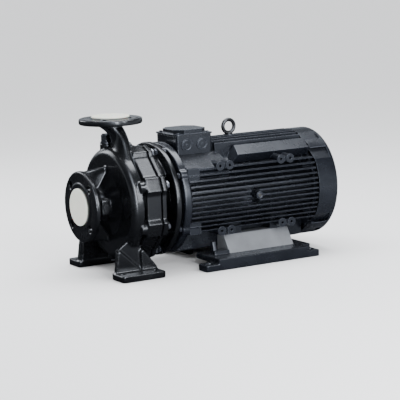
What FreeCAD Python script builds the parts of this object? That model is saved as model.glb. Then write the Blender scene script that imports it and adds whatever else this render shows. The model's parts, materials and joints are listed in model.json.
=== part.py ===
import FreeCAD, Part
import math
import os

# Close-coupled end-suction pump with its motor, in millimetres.
# X runs along the shaft from the suction flange to the fan, Z is up, and the floor is Z = 0.
# The origin is on the floor, under the point where the shaft and discharge axes cross.

V = FreeCAD.Vector
SHAFTWISE = V(1, 0, 0)
UPRIGHT = V(0, 0, 1)
NEAR, FAR = -1, 1
SIDES = (NEAR, FAR)

# Clearances
LOOSE = 0.3
FIT = 0.05
HOLE_SLACK = 0.75

# Position of the pump's flanges and feet
SHAFT_HEIGHT = 180.0
DISCHARGE_RISE = 225.0
SUCTION_REACH = 100.0
FOOT_HOLES_ALONG = 95.0
FOOT_HOLES_ACROSS = 250.0

# Flanges
FLANGE_THICK = 17.0
FLANGE_HOLES = 4
FLANGE_HOLE_D = 19.0
RAISED_FACE = 2.0
FLANGE_EDGE = 2.0
SUCTION_BORE_D = 65.0
SUCTION_FLANGE_D = 185.0
SUCTION_HOLE_CIRCLE_D = 145.0
SUCTION_RAISED_D = 122.0
DISCHARGE_BORE_D = 50.0
DISCHARGE_FLANGE_D = 165.0
DISCHARGE_HOLE_CIRCLE_D = 125.0
DISCHARGE_RAISED_D = 102.0

# Transport caps
SUCTION_CAP_D = 97.0
DISCHARGE_CAP_D = 99.0
CAP_THICK = 4.0
CAP_PLUG_DEEP = 16.0
CAP_WALL = 3.0

# Volute casing
CASING_WALL = 9.0
CASING_R = 145.0
PASSAGE_R = 110.0
PASSAGE_STEP = 3.0
PASSAGE_REAR = 18.0
PASSAGE_ROUND = 10.0
CASING_FRONT = -20.0
CASING_RIM = 14.0
SHOULDER_ROUND = 17.0
HUB_CONE_R = 84.0
NOZZLE_WALL = 9.5
NOZZLE_END = -46.0
NOZZLE_ROUND = 22.0
RIB_THICK = 10.0
RIB_RISE = 98.0

# Casing flange with its lugs
LUG_COUNT = 8
LUG_START_ANGLE = 22.5
LUG_CIRCLE_R = 139.5
LUG_R = 15.0
LUG_SADDLE_HALF = 20.0
LUG_SADDLE_RISE = 4.0
CASING_FLANGE_R = 139.0
CASING_FLANGE_THICK = 31.0
CASING_REAR = 65.0
GROOVE_R = 129.0
COVER_R = 118.0

# Discharge neck
NECK_WALL = 5.0
NECK_ROOT_X = 2.5
NECK_ROOT_RISE = 58.0
NECK_TOP_RISE = DISCHARGE_RISE - FLANGE_THICK - 8.0
NECK_ROOT_OFFSET = 97.0
NECK_ROOT_HALF_ALONG = 22.0
NECK_ROOT_HALF_ACROSS = 38.0
NECK_WAIST = 7.5
NECK_SET_BACK = 15.0
NECK_SWEEP_POWER = 1.2
NECK_STATIONS = 7
NECK_POINTS = 12

# Casing feet
FOOT_LENGTH = 125.0
FOOT_WIDTH = 65.0
FOOT_THICK = 17.0
FOOT_HOLE_D = 14.0
FOOT_CORNER_R = 7.0
LEG_INNER = 99.0
LEG_WEB = 6.0
LEG_THICK = 14.0
FRONT_LEG = (-60.0, -50.0, 80.0, 12.0)
REAR_LEG = (17.0, 14.0, 82.0, 61.0)
LEG_TO_CASING_Z = 98.0

# Plugs on the casing
PRIMING_X = 3.0
PRIMING_Y = 33.5
PRIMING_BOSS_R = 17.5
PRIMING_BOSS_TOP = SHAFT_HEIGHT + CASING_R + 9.0
PRIMING_FLATS = 27.0
PRIMING_HEX_HIGH = 18.0
PLUG_THREAD_R = 11.0
PLUG_THREAD_LONG = 14.0
PLUG_COLLAR = 3.5
GAUGE_X = -53.0
GAUGE_PAD_WIDE = 24.0
GAUGE_PAD_HIGH = 40.0
GAUGE_PAD_Z = SHAFT_HEIGHT + 1.0
GAUGE_REACH = 60.0
DRAIN_BOSS_R = 16.0
GAUGE_PLUG_R = 6.5
GAUGE_PLUG_LONG = 10.0
GAUGE_PLUG_FLATS = 17.0
GAUGE_PLUG_HEAD = 4.0
DRAIN_X = -4.0

# Impeller
IMPELLER_R = 102.0
IMPELLER_BACK_X = 18.0
SHROUD = 4.0
OUTLET_WIDTH = 9.0
EYE_R = 33.5
EYE_RING_WALL = 5.0
EYE_FRONT_X = -24.0
EYE_SHOULDER_X = -5.0
EYE_SHOULDER_R = 52.0
BLADE_COUNT = 6
BLADE_THICK = 4.0
BLADE_INNER_R = 38.0
BLADE_ARC_R = 78.0
HUB_R = 24.0
HUB_FRONT_X = -4.0
KEY_WIDE = 8.0
KEY_HIGH = 4.0
KEY_LONG = 20.0
WEAR_RING_R = 46.0
WEAR_RING_X = -25.0
IMPELLER_WASHER = 3.5
IMPELLER_WASHER_R = 20.0
IMPELLER_NUT_FLATS = 30.0
IMPELLER_NUT_HIGH = 11.0

# Shaft
SHAFT_THREAD_R = 10.0
SHAFT_IMPELLER_R = 14.0
SHAFT_SEAL_R = 16.0
SHAFT_NECK_R = 20.0
SHAFT_BEARING_R = 22.5
SHAFT_BODY_R = 27.0
SHAFT_FAN_R = 16.0
SHAFT_START_X = -21.0
SHAFT_END_X = 601.0
SHAFT_SEAL_END_X = 60.0

# Shaft seal and casing cover
COVER_FRONT_X = 21.5
COVER_DISC = 8.0
COVER_RIM_WALL = 11.0
SEAL_CHAMBER_R = 31.0
SEAL_HOUSING_R = 42.0
SEAL_SEAT_R = 25.0
SEAL_SEAT_X = 39.0
SEAL_SEAT_LONG = 8.0
SEAL_FACE_LONG = 6.0
SEAL_FACE_R = 23.5
SEAL_COLLAR_LONG = 5.0
SEAL_COLLAR_R = 24.0
BELLOWS_PLEATS = 3
BELLOWS_DEEP = 3.0
COVER_BACK_WALL = 6.0
O_RING_R = 2.6
O_RING_X = 48.0
SLINGER_X = 76.0
SLINGER_LONG = 8.0
SLINGER_R = 34.0

# Motor adapter
FLANGE_GAP = 2.5
ADAPTER_FLANGE = 14.5
ADAPTER_REAR_FACE_X = 120.0
ADAPTER_RING = 15.0
ADAPTER_RING_R = 150.0
ADAPTER_WALL_R = 125.0
ADAPTER_WALL = 9.0
ADAPTER_OPENING_R = 58.0
WINDOW_HALF_ANGLE = 37.0
MOTOR_SPIGOT_R = 115.0
MOTOR_BOLT_CIRCLE_R = 136.5
MOTOR_BOLT_LUG_R = 9.5
MOTOR_BOLT_ANGLE = 70.0
ADAPTER_FILLET = 1.5

# Metric hardware: thread radius, across flats, head height
M12 = (6.0, 18.0, 7.5)
M10 = (5.0, 16.0, 6.4)
M8 = (4.0, 13.0, 5.3)
M5 = (2.5, 8.0, 3.5)
WASHER = 2.5
WASHER_OVERHANG = 2.5

# Motor end shields
SHIELD_FRONT_X = 131.0
SHIELD_R = 147.0
SHIELD_WALL = 10.0
SHIELD_STEP_R = 124.0
SHIELD_LUG_R = 13.0
SHIELD_LUG_CIRCLE_R = 136.0
SHIELD_LUG_ANGLE = 31.0
FAN_SHIELD_R = 128.0
FAN_SHIELD_THICK = 14.0
FAN_SHIELD_BOLT_R = 117.0
REAR_BOSS_R = 9.0
REAR_BOSS_LONG = 24.0

# Motor frame
FRAME_START_X = 152.0
FRAME_END_X = 546.0
FRAME_BORE_R = 106.0
FRAME_SHELL = 8.0
FRAME_FIN_R = 148.5
FIN_THICK = 3.5
FIN_PITCH = 13.5
SIDE_FINS = 13
TOP_FINS = 9
TOP_FIN_PITCH = 14.5
FRAME_CORNER_SIZE = 32.0
FRAME_CORNER_LONG = 34.0
PAD_R = 12.0
PAD_FACE_Y = 129.0
PAD_RISE = 86.0
PAD_PITCH = 29.0
PAD_PAIR_X = (264.5, 455.0)
PAD_HOLE_R = 4.0
PAD_HOLE_DEEP = 16.0
CENTRE_BOSS_X = 358.0
CENTRE_BOSS_R = 10.0
CENTRE_POCKET_LONG = 26.0
CENTRE_POCKET_HIGH = 32.0
DUCT_START_X = 300.0
DUCT_SLANT = 30.0
DUCT_TOP_Y = 70.0
DUCT_TOP_RISE = 128.0
DUCT_LOW_Y = 106.0
DUCT_LOW_RISE = 107.0
PEDESTAL_END_X = 286.0
PEDESTAL_LOW_Y = 119.0
PEDESTAL_LOW_RISE = 84.0
FOOT_SEAT_X = (303.0, 446.0)
FOOT_SEAT_LONG = 50.0
FOOT_SEAT_Z = SHAFT_HEIGHT - 104.0
FOOT_SEAT_BOLT_Y = 77.0

# Stator, rotor and bearings
CORE_START_X = 255.0
CORE_LONG = 180.0
AIR_GAP = 0.6
ROTOR_R = 70.0
WINDING_OVERHANG = 38.0
WINDING_OUTER_R = 101.0
WINDING_INNER_R = 76.0
END_RING_LONG = 14.0
END_RING_WALL = 22.0
DRIVE_BEARING_R = 50.0
DRIVE_BEARING_WIDE = 25.0
DRIVE_BALL_R = 8.7
FAN_BEARING_R = 42.5
FAN_BEARING_WIDE = 19.0
FAN_BALL_R = 6.3
BALL_COUNT = 7
CAGE_WIDE_SHARE = 0.9
BEARING_HOUSING_WALL = 11.0
WAVE_SPRING_WIDE = 3.0

# Fan and cowl
FAN_HUB_R = 27.0
FAN_HUB_LONG = 30.0
FAN_DISC_R = 112.0
FAN_DISC_THICK = 3.0
FAN_START_X = 568.0
FAN_BLADES = 8
FAN_BLADE_THICK = 3.0
FAN_BLADE_DEEP = 24.0
COWL_START_X = 551.0
COWL_END_X = 616.0
COWL_R = 147.5
COWL_WALL = 2.5
COWL_ROUND = 8.0
COWL_FLAT_ANGLE = 51.0
COWL_FLAT_DISTANCE = 138.5
COWL_FLAT_LONG = 50.0
COWL_SCREW_LONG = 12.0
GRILLE_SLOTS = 18
GRILLE_SLOT_WIDE = 7.0
GRILLE_RINGS = ((32.0, 68.0), (78.0, 112.0))
COWL_FOOT_LONG = 24.0
COWL_FOOT_WIDE = 26.0
COWL_FOOT_BASE_R = 116.0

# Lifting eye
EYE_BOLT_X = 357.0
EYE_RING_R = 17.5
EYE_WIRE_R = 5.0
EYE_CENTRE_Z = SHAFT_HEIGHT + 171.0
EYE_COLLAR_R = 10.5
EYE_COLLAR = 5.0
EYE_BOSS_R = 15.0
EYE_BOSS_TOP = SHAFT_HEIGHT + 149.5
EYE_THREAD_LONG = 16.0

# Terminal box
BOX_START_X = 164.0
BOX_LONG = 107.0
BOX_HALF_WIDE = 54.5
BOX_FLOOR_Z = SHAFT_HEIGHT + 115.0
BOX_TOP_Z = BOX_FLOOR_Z + 48.0
BOX_WALL = 4.0
BOX_CORNER_R = 6.0
GASKET = 1.5
LID_OVERHANG = 3.0
LID_FLANGE = 3.5
LID_RAISE = 10.5
LID_INSET = 5.0
LID_CHAMFER = 24.0
LID_SCREW_INSET = 9.0
ENTRY_R = 16.0
ENTRY_RISE = 24.0
ENTRY_PITCH = 47.0
ENTRY_PLUG_RIM = 2.0
ENTRY_PLUG_PROUD = 2.0
BOARD_LONG = 62.0
BOARD_WIDE = 46.0
BOARD_THICK = 12.0
STUD_R = 3.0
STUD_HIGH = 13.0
STUD_PITCH = 18.0

# Motor feet and support rails
RAIL_START_X = 172.0
RAIL_END_X = 527.0
RAIL_OUTER_Y = 176.0
RAIL_LUG_WIDE = 45.0
RAIL_LUG_THICK = 17.0
RAIL_LUG_LONG = 38.0
RAIL_TOP_Z = 30.0
RAIL_TOP_THICK = 15.0
RAIL_INNER_Y = 56.0
RAIL_WALL = 12.0
RAIL_STEP_BACK = 34.0
RAIL_SLOT_WIDE = 15.0
RAIL_SLOT_LONG = 26.0
MOTOR_FOOT_START_X = 273.0
MOTOR_FOOT_END_X = 476.0
MOTOR_FOOT_BASE_Y = 127.0
MOTOR_FOOT_TOP_Y = 97.0
MOTOR_FOOT_WALL = 9.0
MOTOR_FOOT_FLANGE = 11.0
MOTOR_FOOT_INNER_Y = 63.0
RAIL_SPUR_X = 226.0
RAIL_SPUR_WIDE = 24.0
RAIL_SPUR_HIGH = 36.0


# Helpers

def around(x, radius, angle):
    """Point at a radius about the shaft: 0 degrees is the near side, 90 the top."""
    turn = math.radians(angle)
    return V(x, -radius * math.cos(turn), SHAFT_HEIGHT + radius * math.sin(turn))


def outward(angle):
    """Direction away from the shaft at that angle."""
    turn = math.radians(angle)
    return V(0, -math.cos(turn), math.sin(turn))


def four_angles(angle):
    """The same angle in all four quarters about the shaft."""
    return [angle, 180 - angle, 180 + angle, 360 - angle]


def outline(corners, place):
    """Closed wire through (u, v) corners; a third number rounds its corner."""
    points = [V(corner[0], corner[1], 0) for corner in corners]
    arrivals, departures, arcs = [], [], []
    for index, point in enumerate(points):
        back = (points[index - 1] - point).normalize()
        ahead = (points[(index + 1) % len(points)] - point).normalize()
        radius = corners[index][2] if len(corners[index]) > 2 else 0.0
        half = back.getAngle(ahead) / 2
        reach = radius / math.tan(half)
        arrivals.append(place(point + back * reach))
        departures.append(place(point + ahead * reach))
        bisector = (back + ahead).normalize() if radius else V(0, 0, 0)
        arcs.append(place(point + bisector * (radius / math.sin(half) - radius)))
    edges = []
    for index, corner in enumerate(corners):
        following = arrivals[(index + 1) % len(points)]
        if len(corner) > 2:
            edges.append(Part.Arc(arrivals[index], arcs[index], departures[index]).toShape())
        if departures[index].distanceToPoint(following) > FIT / 10:
            edges.append(Part.makeLine(departures[index], following))
    return Part.Wire(edges)


def in_meridian(point):
    return V(point.x, 0, SHAFT_HEIGHT + point.y)


def turned(corners):
    """Solid of revolution about the shaft from (x, radius) corners."""
    face = Part.Face(outline(corners, in_meridian))
    return face.revolve(V(0, 0, SHAFT_HEIGHT), SHAFTWISE, 360)


def tube(start_x, end_x, outer, inner=0.0):
    """Plain ring or disc about the shaft."""
    centre = V(start_x, 0, SHAFT_HEIGHT)
    solid = Part.makeCylinder(outer, end_x - start_x, centre, SHAFTWISE)
    if inner:
        solid = solid.cut(Part.makeCylinder(inner, end_x - start_x, centre, SHAFTWISE))
    return solid


def rod(start, direction, radius, length):
    return Part.makeCylinder(radius, length, start, direction)


def hexagon(start, direction, flats, height):
    """Hexagonal prism that stands on start."""
    corner = flats / math.sqrt(3)
    ring = [V(corner * math.cos(k * math.pi / 3), corner * math.sin(k * math.pi / 3), 0) for k in range(7)]
    solid = Part.Face(Part.makePolygon(ring)).extrude(UPRIGHT * height)
    solid.Placement = FreeCAD.Placement(start, FreeCAD.Rotation(UPRIGHT, direction))
    return solid


def cross_plate(corners, start_x, end_x):
    """Plate from (y, z) corners, extruded along the shaft."""
    face = Part.Face(outline(corners, lambda point: V(start_x, point.x, point.y)))
    return face.extrude(SHAFTWISE * (end_x - start_x))


def plan_plate(corners, bottom, top):
    """Plate from (x, y) corners, extruded upwards."""
    face = Part.Face(outline(corners, lambda point: V(point.x, point.y, bottom)))
    return face.extrude(UPRIGHT * (top - bottom))


def side_plate(corners, start_y, end_y):
    """Plate from (x, z) corners, extruded across the shaft."""
    face = Part.Face(outline(corners, lambda point: V(point.x, start_y, point.y)))
    return face.extrude(V(0, end_y - start_y, 0))


def rectangle(low_x, low_y, high_x, high_y, corner=None):
    """Corners of a rectangle, rounded where a radius is given."""
    corners = [(low_x, low_y), (high_x, low_y), (high_x, high_y), (low_x, high_y)]
    return [point + (corner,) for point in corners] if corner else corners


def block(low, high):
    """Box between two opposite corners, given in any order."""
    least = V(*[min(a, b) for a, b in zip(low, high)])
    size = [abs(a - b) for a, b in zip(low, high)]
    return Part.makeBox(size[0], size[1], size[2], least)


def obround(x, y, bottom, top, length, width):
    """Upright slot that runs along X."""
    half = (length - width) / 2
    ends = [rod(V(x + shift, y, bottom), UPRIGHT, width / 2, top - bottom) for shift in (-half, half)]
    middle = block((x - half, y - width / 2, bottom), (x + half, y + width / 2, top))
    return joined([middle] + ends)


def turn_copy(shape, angle):
    """Copy turned about the shaft."""
    copy = shape.copy()
    copy.rotate(V(0, 0, SHAFT_HEIGHT), V(-1, 0, 0), angle)
    return copy


def mirrored(shape):
    """Copy on the other side of the shaft."""
    return shape.mirror(V(0, 0, 0), V(0, 1, 0))


def joined(shapes):
    return shapes[0].multiFuse(shapes[1:]).removeSplitter()


def without(shape, tools):
    return shape.cut(tools).removeSplitter()


def bolt(seat, direction, size, length):
    """Hexagon bolt whose head stands on the seat and whose shank runs the other way."""
    thread, flats, head = size
    shank = rod(seat - direction * length, direction, thread, length)
    return joined([hexagon(seat, direction, flats, head), shank])


def save(name, solids):
    """One STEP file for one named piece, or for a group of identical pieces."""
    shape = Part.makeCompound(solids) if isinstance(solids, list) else solids
    if not shape.isValid() or not shape.Solids:
        raise ValueError(name + " is not a sound solid")
    shape.exportStep("parts/" + name + ".step")


# Volute casing

def water_spiral():
    """Four quarter turns about shifted centres, each PASSAGE_STEP larger than the last."""
    front = CASING_FRONT + CASING_WALL
    core_r = PASSAGE_R / 2
    shifts = ((0, 0), (-PASSAGE_STEP, 0), (-PASSAGE_STEP, PASSAGE_STEP), (0, PASSAGE_STEP))
    pieces = [tube(front, PASSAGE_REAR, core_r + 2 * PASSAGE_STEP)]
    for quarter, (shift_y, shift_z) in enumerate(shifts):
        radius = PASSAGE_R + quarter * PASSAGE_STEP
        corners = [(front, core_r), (front, radius, PASSAGE_ROUND), (PASSAGE_REAR, radius),
                   (PASSAGE_REAR, core_r)]
        face = Part.Face(outline(corners, in_meridian))
        face.rotate(V(0, 0, SHAFT_HEIGHT), V(-1, 0, 0), 90 * quarter)
        face.translate(V(0, shift_y, shift_z))
        pieces.append(face.revolve(V(0, shift_y, SHAFT_HEIGHT + shift_z), V(-1, 0, 0), 90))
    return joined(pieces)


def drum():
    """Round body of the casing with its soft front shoulder."""
    return turned([(CASING_FRONT, 0), (CASING_FRONT, CASING_R, SHOULDER_ROUND),
                   (CASING_RIM, CASING_R), (CASING_RIM, 0)])


def neck(inset, top):
    """Discharge duct: leaves the near shoulder, narrows at its waist and ends round under the flange."""
    radius = DISCHARGE_BORE_D / 2 + NECK_WALL
    root_x = NECK_ROOT_X
    sections = []
    for station in range(NECK_STATIONS):
        share = station / (NECK_STATIONS - 1)
        waist = 256 / 27 * share ** 3 * (1 - share)
        along = NECK_ROOT_HALF_ALONG + (radius - NECK_ROOT_HALF_ALONG) * share - NECK_WAIST * waist
        across = NECK_ROOT_HALF_ACROSS + (radius - NECK_ROOT_HALF_ACROSS) * share
        centre = V(root_x * (1 - share) + NECK_SET_BACK * waist,
                   -NECK_ROOT_OFFSET * (1 - share) ** NECK_SWEEP_POWER,
                   SHAFT_HEIGHT + NECK_ROOT_RISE + (NECK_TOP_RISE - NECK_ROOT_RISE) * share)
        sections.append(oval(centre, along - inset, across - inset))
    duct = Part.makeLoft(sections, True, False)
    straight = Part.Face(sections[-1]).extrude(UPRIGHT * (top - SHAFT_HEIGHT - NECK_TOP_RISE))
    return duct.fuse(straight)


def oval(centre, along, across):
    """Closed smooth curve in a level plane."""
    ring = []
    for k in range(NECK_POINTS):
        turn = 2 * math.pi * k / NECK_POINTS
        ring.append(centre + V(along * math.sin(turn), across * math.cos(turn), 0))
    curve = Part.BSplineCurve()
    curve.interpolate(Points=ring, PeriodicFlag=True)
    return Part.Wire(curve.toShape())


def flange(centre, direction, diameter, raised, circle):
    """Round flange with a raised face; centre is on the face, direction points out of it."""
    disc = rod(centre - direction * FLANGE_THICK, direction, diameter / 2, FLANGE_THICK - RAISED_FACE)
    disc = disc.makeChamfer(FLANGE_EDGE, disc.Edges)
    face = rod(centre - direction * FLANGE_THICK, direction, raised / 2, FLANGE_THICK)
    sideways = V(0, 1, 0)
    other = direction.cross(sideways)
    holes = []
    for k in range(FLANGE_HOLES):
        turn = 2 * math.pi * (k + 0.5) / FLANGE_HOLES
        place = centre + (sideways * math.cos(turn) + other * math.sin(turn)) * (circle / 2)
        holes.append(rod(place - direction * FLANGE_THICK, direction, FLANGE_HOLE_D / 2, FLANGE_THICK))
    return without(joined([disc, face]), holes)


def suction_flange():
    centre = V(-SUCTION_REACH, 0, SHAFT_HEIGHT)
    return flange(centre, V(-1, 0, 0), SUCTION_FLANGE_D, SUCTION_RAISED_D, SUCTION_HOLE_CIRCLE_D)


def discharge_flange():
    centre = V(0, 0, SHAFT_HEIGHT + DISCHARGE_RISE)
    return flange(centre, UPRIGHT, DISCHARGE_FLANGE_D, DISCHARGE_RAISED_D, DISCHARGE_HOLE_CIRCLE_D)


def nozzle():
    """Suction nozzle that flares into the casing's front wall."""
    radius = SUCTION_BORE_D / 2 + NOZZLE_WALL
    start = -SUCTION_REACH + FLANGE_THICK / 2
    return turned([(start, 0), (start, radius), (NOZZLE_END, radius, NOZZLE_ROUND),
                   (CASING_FRONT, HUB_CONE_R), (CASING_RIM, HUB_CONE_R), (CASING_RIM, 0)])


def nozzle_ribs():
    """Two upright ribs that brace the suction flange against the front wall."""
    flange_back = -SUCTION_REACH + FLANGE_THICK
    foot_r = SUCTION_BORE_D / 2
    high = SUCTION_FLANGE_D / 2 - FLANGE_EDGE
    low_z, flange_z, wall_z = [SHAFT_HEIGHT + r for r in (foot_r, high, RIB_RISE)]
    inner = CASING_FRONT + CASING_WALL / 2
    corners = [(flange_back - FLANGE_THICK / 4, low_z), (flange_back - FLANGE_THICK / 4, flange_z),
               (inner, wall_z), (inner, low_z)]
    rib = side_plate(corners, -RIB_THICK / 2, RIB_THICK / 2)
    return [rib, turn_copy(rib, 180)]


def lug_ring(start_x, end_x, radius):
    """Lugs about the shaft, at the angles that casing and adapter share."""
    step = 360 / LUG_COUNT
    angles = [LUG_START_ANGLE + step * k for k in range(LUG_COUNT)]
    return [rod(around(start_x, LUG_CIRCLE_R, angle), SHAFTWISE, radius, end_x - start_x) for angle in angles]


def lug_saddles(start_x, end_x):
    """Wider shoulders on both sides of each lug."""
    low, high = COVER_R, LUG_CIRCLE_R + LUG_SADDLE_RISE
    half = LUG_SADDLE_HALF
    corners = [(-high, SHAFT_HEIGHT - half + LUG_R / 2), (-high, SHAFT_HEIGHT + half - LUG_R / 2),
               (-low, SHAFT_HEIGHT + half), (-low, SHAFT_HEIGHT - half)]
    saddle = cross_plate(corners, start_x, end_x)
    step = 360 / LUG_COUNT
    return [turn_copy(saddle, LUG_START_ANGLE + step * k) for k in range(LUG_COUNT)]


def casing_foot(side):
    """Foot plate on the floor with two raked legs and a web up to the casing."""
    outer = FOOT_HOLES_ACROSS / 2 + FOOT_WIDTH / 2
    inner = outer - FOOT_WIDTH
    half = FOOT_LENGTH / 2
    low, high = sorted((side * inner, side * outer))
    plate = plan_plate(rectangle(-half, low, half, high, FOOT_CORNER_R), 0, FOOT_THICK)
    holes = [rod(place, UPRIGHT, FOOT_HOLE_D / 2, FOOT_THICK) for place in foot_hole_places(side)]
    legs = [raked_leg(side, *leg) for leg in (FRONT_LEG, REAR_LEG)]
    return joined([without(plate, holes), cross_web(side)] + legs)


def foot_hole_places(side):
    return [V(along * FOOT_HOLES_ALONG / 2, side * FOOT_HOLES_ACROSS / 2, 0) for along in (-1, 1)]


def raked_leg(side, foot_start, apex_x, apex_z, foot_end):
    """Three-cornered leg: steep towards the suction flange, raked towards the motor."""
    corners = [(foot_start, FOOT_THICK / 2), (apex_x, apex_z, LEG_WEB), (foot_end, FOOT_THICK + LEG_WEB),
               (foot_end, FOOT_THICK / 2)]
    start, end = sorted((side * LEG_INNER, side * (LEG_INNER + LEG_THICK)))
    return side_plate(corners, start, end)


def cross_web(side):
    """Upright web along the shaft, behind the legs, that joins them to the casing."""
    corners = [(FRONT_LEG[0] + LEG_WEB, FOOT_THICK / 2), (FRONT_LEG[1], FRONT_LEG[2] - LEG_WEB),
               (CASING_FRONT + LEG_WEB, LEG_TO_CASING_Z), (CASING_RIM - LEG_WEB, LEG_TO_CASING_Z),
               (REAR_LEG[3] - LEG_WEB, FOOT_THICK / 2)]
    start, end = sorted((side * (LEG_INNER - LEG_WEB), side * (LEG_INNER + LEG_WEB)))
    return side_plate(corners, start, end)


def casing_bores():
    """What is cut from the casing: water passages, cover seat, wear ring seat and threads."""
    passage = water_spiral()
    chamber = tube(CASING_FRONT + CASING_WALL, COVER_FRONT_X, PASSAGE_R - 1)
    suction = tube(-SUCTION_REACH, COVER_FRONT_X, SUCTION_BORE_D / 2)
    ring_seat = tube(WEAR_RING_X, COVER_FRONT_X, WEAR_RING_R)
    cover_seat = tube(COVER_FRONT_X, CASING_REAR, COVER_R)
    duct = neck(NECK_WALL, SHAFT_HEIGHT + DISCHARGE_RISE)
    bolts = lug_ring(CASING_RIM + CASING_WALL / 2, CASING_REAR, M12[0])
    priming = rod(V(PRIMING_X, PRIMING_Y, PRIMING_BOSS_TOP - PLUG_THREAD_LONG), UPRIGHT,
                  PLUG_THREAD_R, PLUG_THREAD_LONG)
    vent = rod(V(PRIMING_X, PRIMING_Y, SHAFT_HEIGHT + IMPELLER_R), UPRIGHT, PLUG_THREAD_R - 3,
               PRIMING_BOSS_TOP - SHAFT_HEIGHT - IMPELLER_R)
    gauge = rod(V(GAUGE_X, -GAUGE_REACH, SHAFT_HEIGHT), V(0, 1, 0), GAUGE_PLUG_R, GAUGE_REACH)
    drain = rod(V(DRAIN_X, 0, 0), UPRIGHT, GAUGE_PLUG_R, SHAFT_HEIGHT - IMPELLER_R)
    return [passage, chamber, suction, ring_seat, cover_seat, duct, priming, vent, gauge, drain] + bolts


def volute_casing():
    body = drum()
    band = turned([(CASING_RIM - CASING_WALL, COVER_R), (CASING_RIM - CASING_WALL, GROOVE_R),
                   (CASING_REAR - CASING_FLANGE_THICK, GROOVE_R),
                   (CASING_REAR - CASING_FLANGE_THICK, CASING_FLANGE_R, 2.0),
                   (CASING_REAR, CASING_FLANGE_R), (CASING_REAR, COVER_R)])
    outer_neck = neck(0, SHAFT_HEIGHT + DISCHARGE_RISE - FLANGE_THICK / 2)
    boss_root = SHAFT_HEIGHT + CASING_R - PRIMING_BOSS_R
    priming_boss = rod(V(PRIMING_X, PRIMING_Y, boss_root), UPRIGHT, PRIMING_BOSS_R, PRIMING_BOSS_TOP - boss_root)
    gauge_boss = side_plate(rectangle(GAUGE_X - GAUGE_PAD_WIDE / 2, GAUGE_PAD_Z - GAUGE_PAD_HIGH / 2,
                                      GAUGE_X + GAUGE_PAD_WIDE / 2, GAUGE_PAD_Z + GAUGE_PAD_HIGH / 2, 4.0),
                            -GAUGE_REACH, 0)
    drain_boss = rod(V(DRAIN_X, 0, drain_seat_z()), UPRIGHT, DRAIN_BOSS_R, CASING_R - IMPELLER_R)
    parts = [body, nozzle(), band, outer_neck, priming_boss, gauge_boss, drain_boss]
    parts += lug_ring(CASING_RIM - CASING_WALL, CASING_REAR, LUG_R)
    parts += lug_saddles(CASING_RIM - CASING_WALL, CASING_REAR)
    parts += nozzle_ribs() + [casing_foot(side) for side in SIDES]
    parts += [suction_flange(), discharge_flange()]
    return without(joined(parts), casing_bores())


def drain_seat_z():
    """Height of the drain plug's seat, just under the casing."""
    return SHAFT_HEIGHT - CASING_R - FLANGE_EDGE


def suction_cap():
    """Push-in cap with a hollow plug that enters the suction bore."""
    face = -SUCTION_REACH - LOOSE
    disc = turned([(face - CAP_THICK, 0), (face - CAP_THICK, SUCTION_CAP_D / 2, CAP_THICK * 0.6),
                   (face, SUCTION_CAP_D / 2), (face, 0)])
    plug_r = SUCTION_BORE_D / 2 - LOOSE
    return joined([disc, tube(face - CAP_THICK / 2, face + CAP_PLUG_DEEP, plug_r, plug_r - CAP_WALL)])


def discharge_cap():
    """Push-in cap with a hollow plug that enters the discharge bore."""
    face = SHAFT_HEIGHT + DISCHARGE_RISE + LOOSE
    corners = [(0, face), (DISCHARGE_CAP_D / 2, face),
               (DISCHARGE_CAP_D / 2, face + CAP_THICK, CAP_THICK * 0.6), (0, face + CAP_THICK)]
    disc = Part.Face(outline(corners, lambda point: V(point.x, 0, point.y))).revolve(V(0, 0, 0), UPRIGHT, 360)
    plug_r = DISCHARGE_BORE_D / 2 - LOOSE
    low = V(0, 0, face - CAP_PLUG_DEEP)
    high = CAP_PLUG_DEEP + CAP_THICK / 2
    ring = rod(low, UPRIGHT, plug_r, high).cut(rod(low, UPRIGHT, plug_r - CAP_WALL, high))
    return joined([disc, ring])


def priming_plug():
    seat = V(PRIMING_X, PRIMING_Y, PRIMING_BOSS_TOP)
    collar = rod(seat, UPRIGHT, PRIMING_BOSS_R - 1, PLUG_COLLAR)
    head = hexagon(seat, UPRIGHT, PRIMING_FLATS, PLUG_COLLAR + PRIMING_HEX_HIGH)
    cap = rod(seat, UPRIGHT, PRIMING_FLATS / 2 - 2, PLUG_COLLAR + PRIMING_HEX_HIGH + 3)
    thread = rod(seat - UPRIGHT * PLUG_THREAD_LONG, UPRIGHT, PLUG_THREAD_R, PLUG_THREAD_LONG)
    return joined([collar, head, cap, thread])


def small_plug(seat, direction):
    head = hexagon(seat, direction, GAUGE_PLUG_FLATS, GAUGE_PLUG_HEAD)
    thread = rod(seat - direction * GAUGE_PLUG_LONG, direction, GAUGE_PLUG_R, GAUGE_PLUG_LONG)
    return joined([head, thread])


def gauge_plug():
    return small_plug(V(GAUGE_X, -GAUGE_REACH, SHAFT_HEIGHT), V(0, -1, 0))


def drain_plug():
    return small_plug(V(DRAIN_X, 0, drain_seat_z()), -UPRIGHT)


def wear_ring():
    return tube(WEAR_RING_X, CASING_FRONT + CASING_WALL, WEAR_RING_R, EYE_R + EYE_RING_WALL + LOOSE)


# Impeller and its fixings

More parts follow.
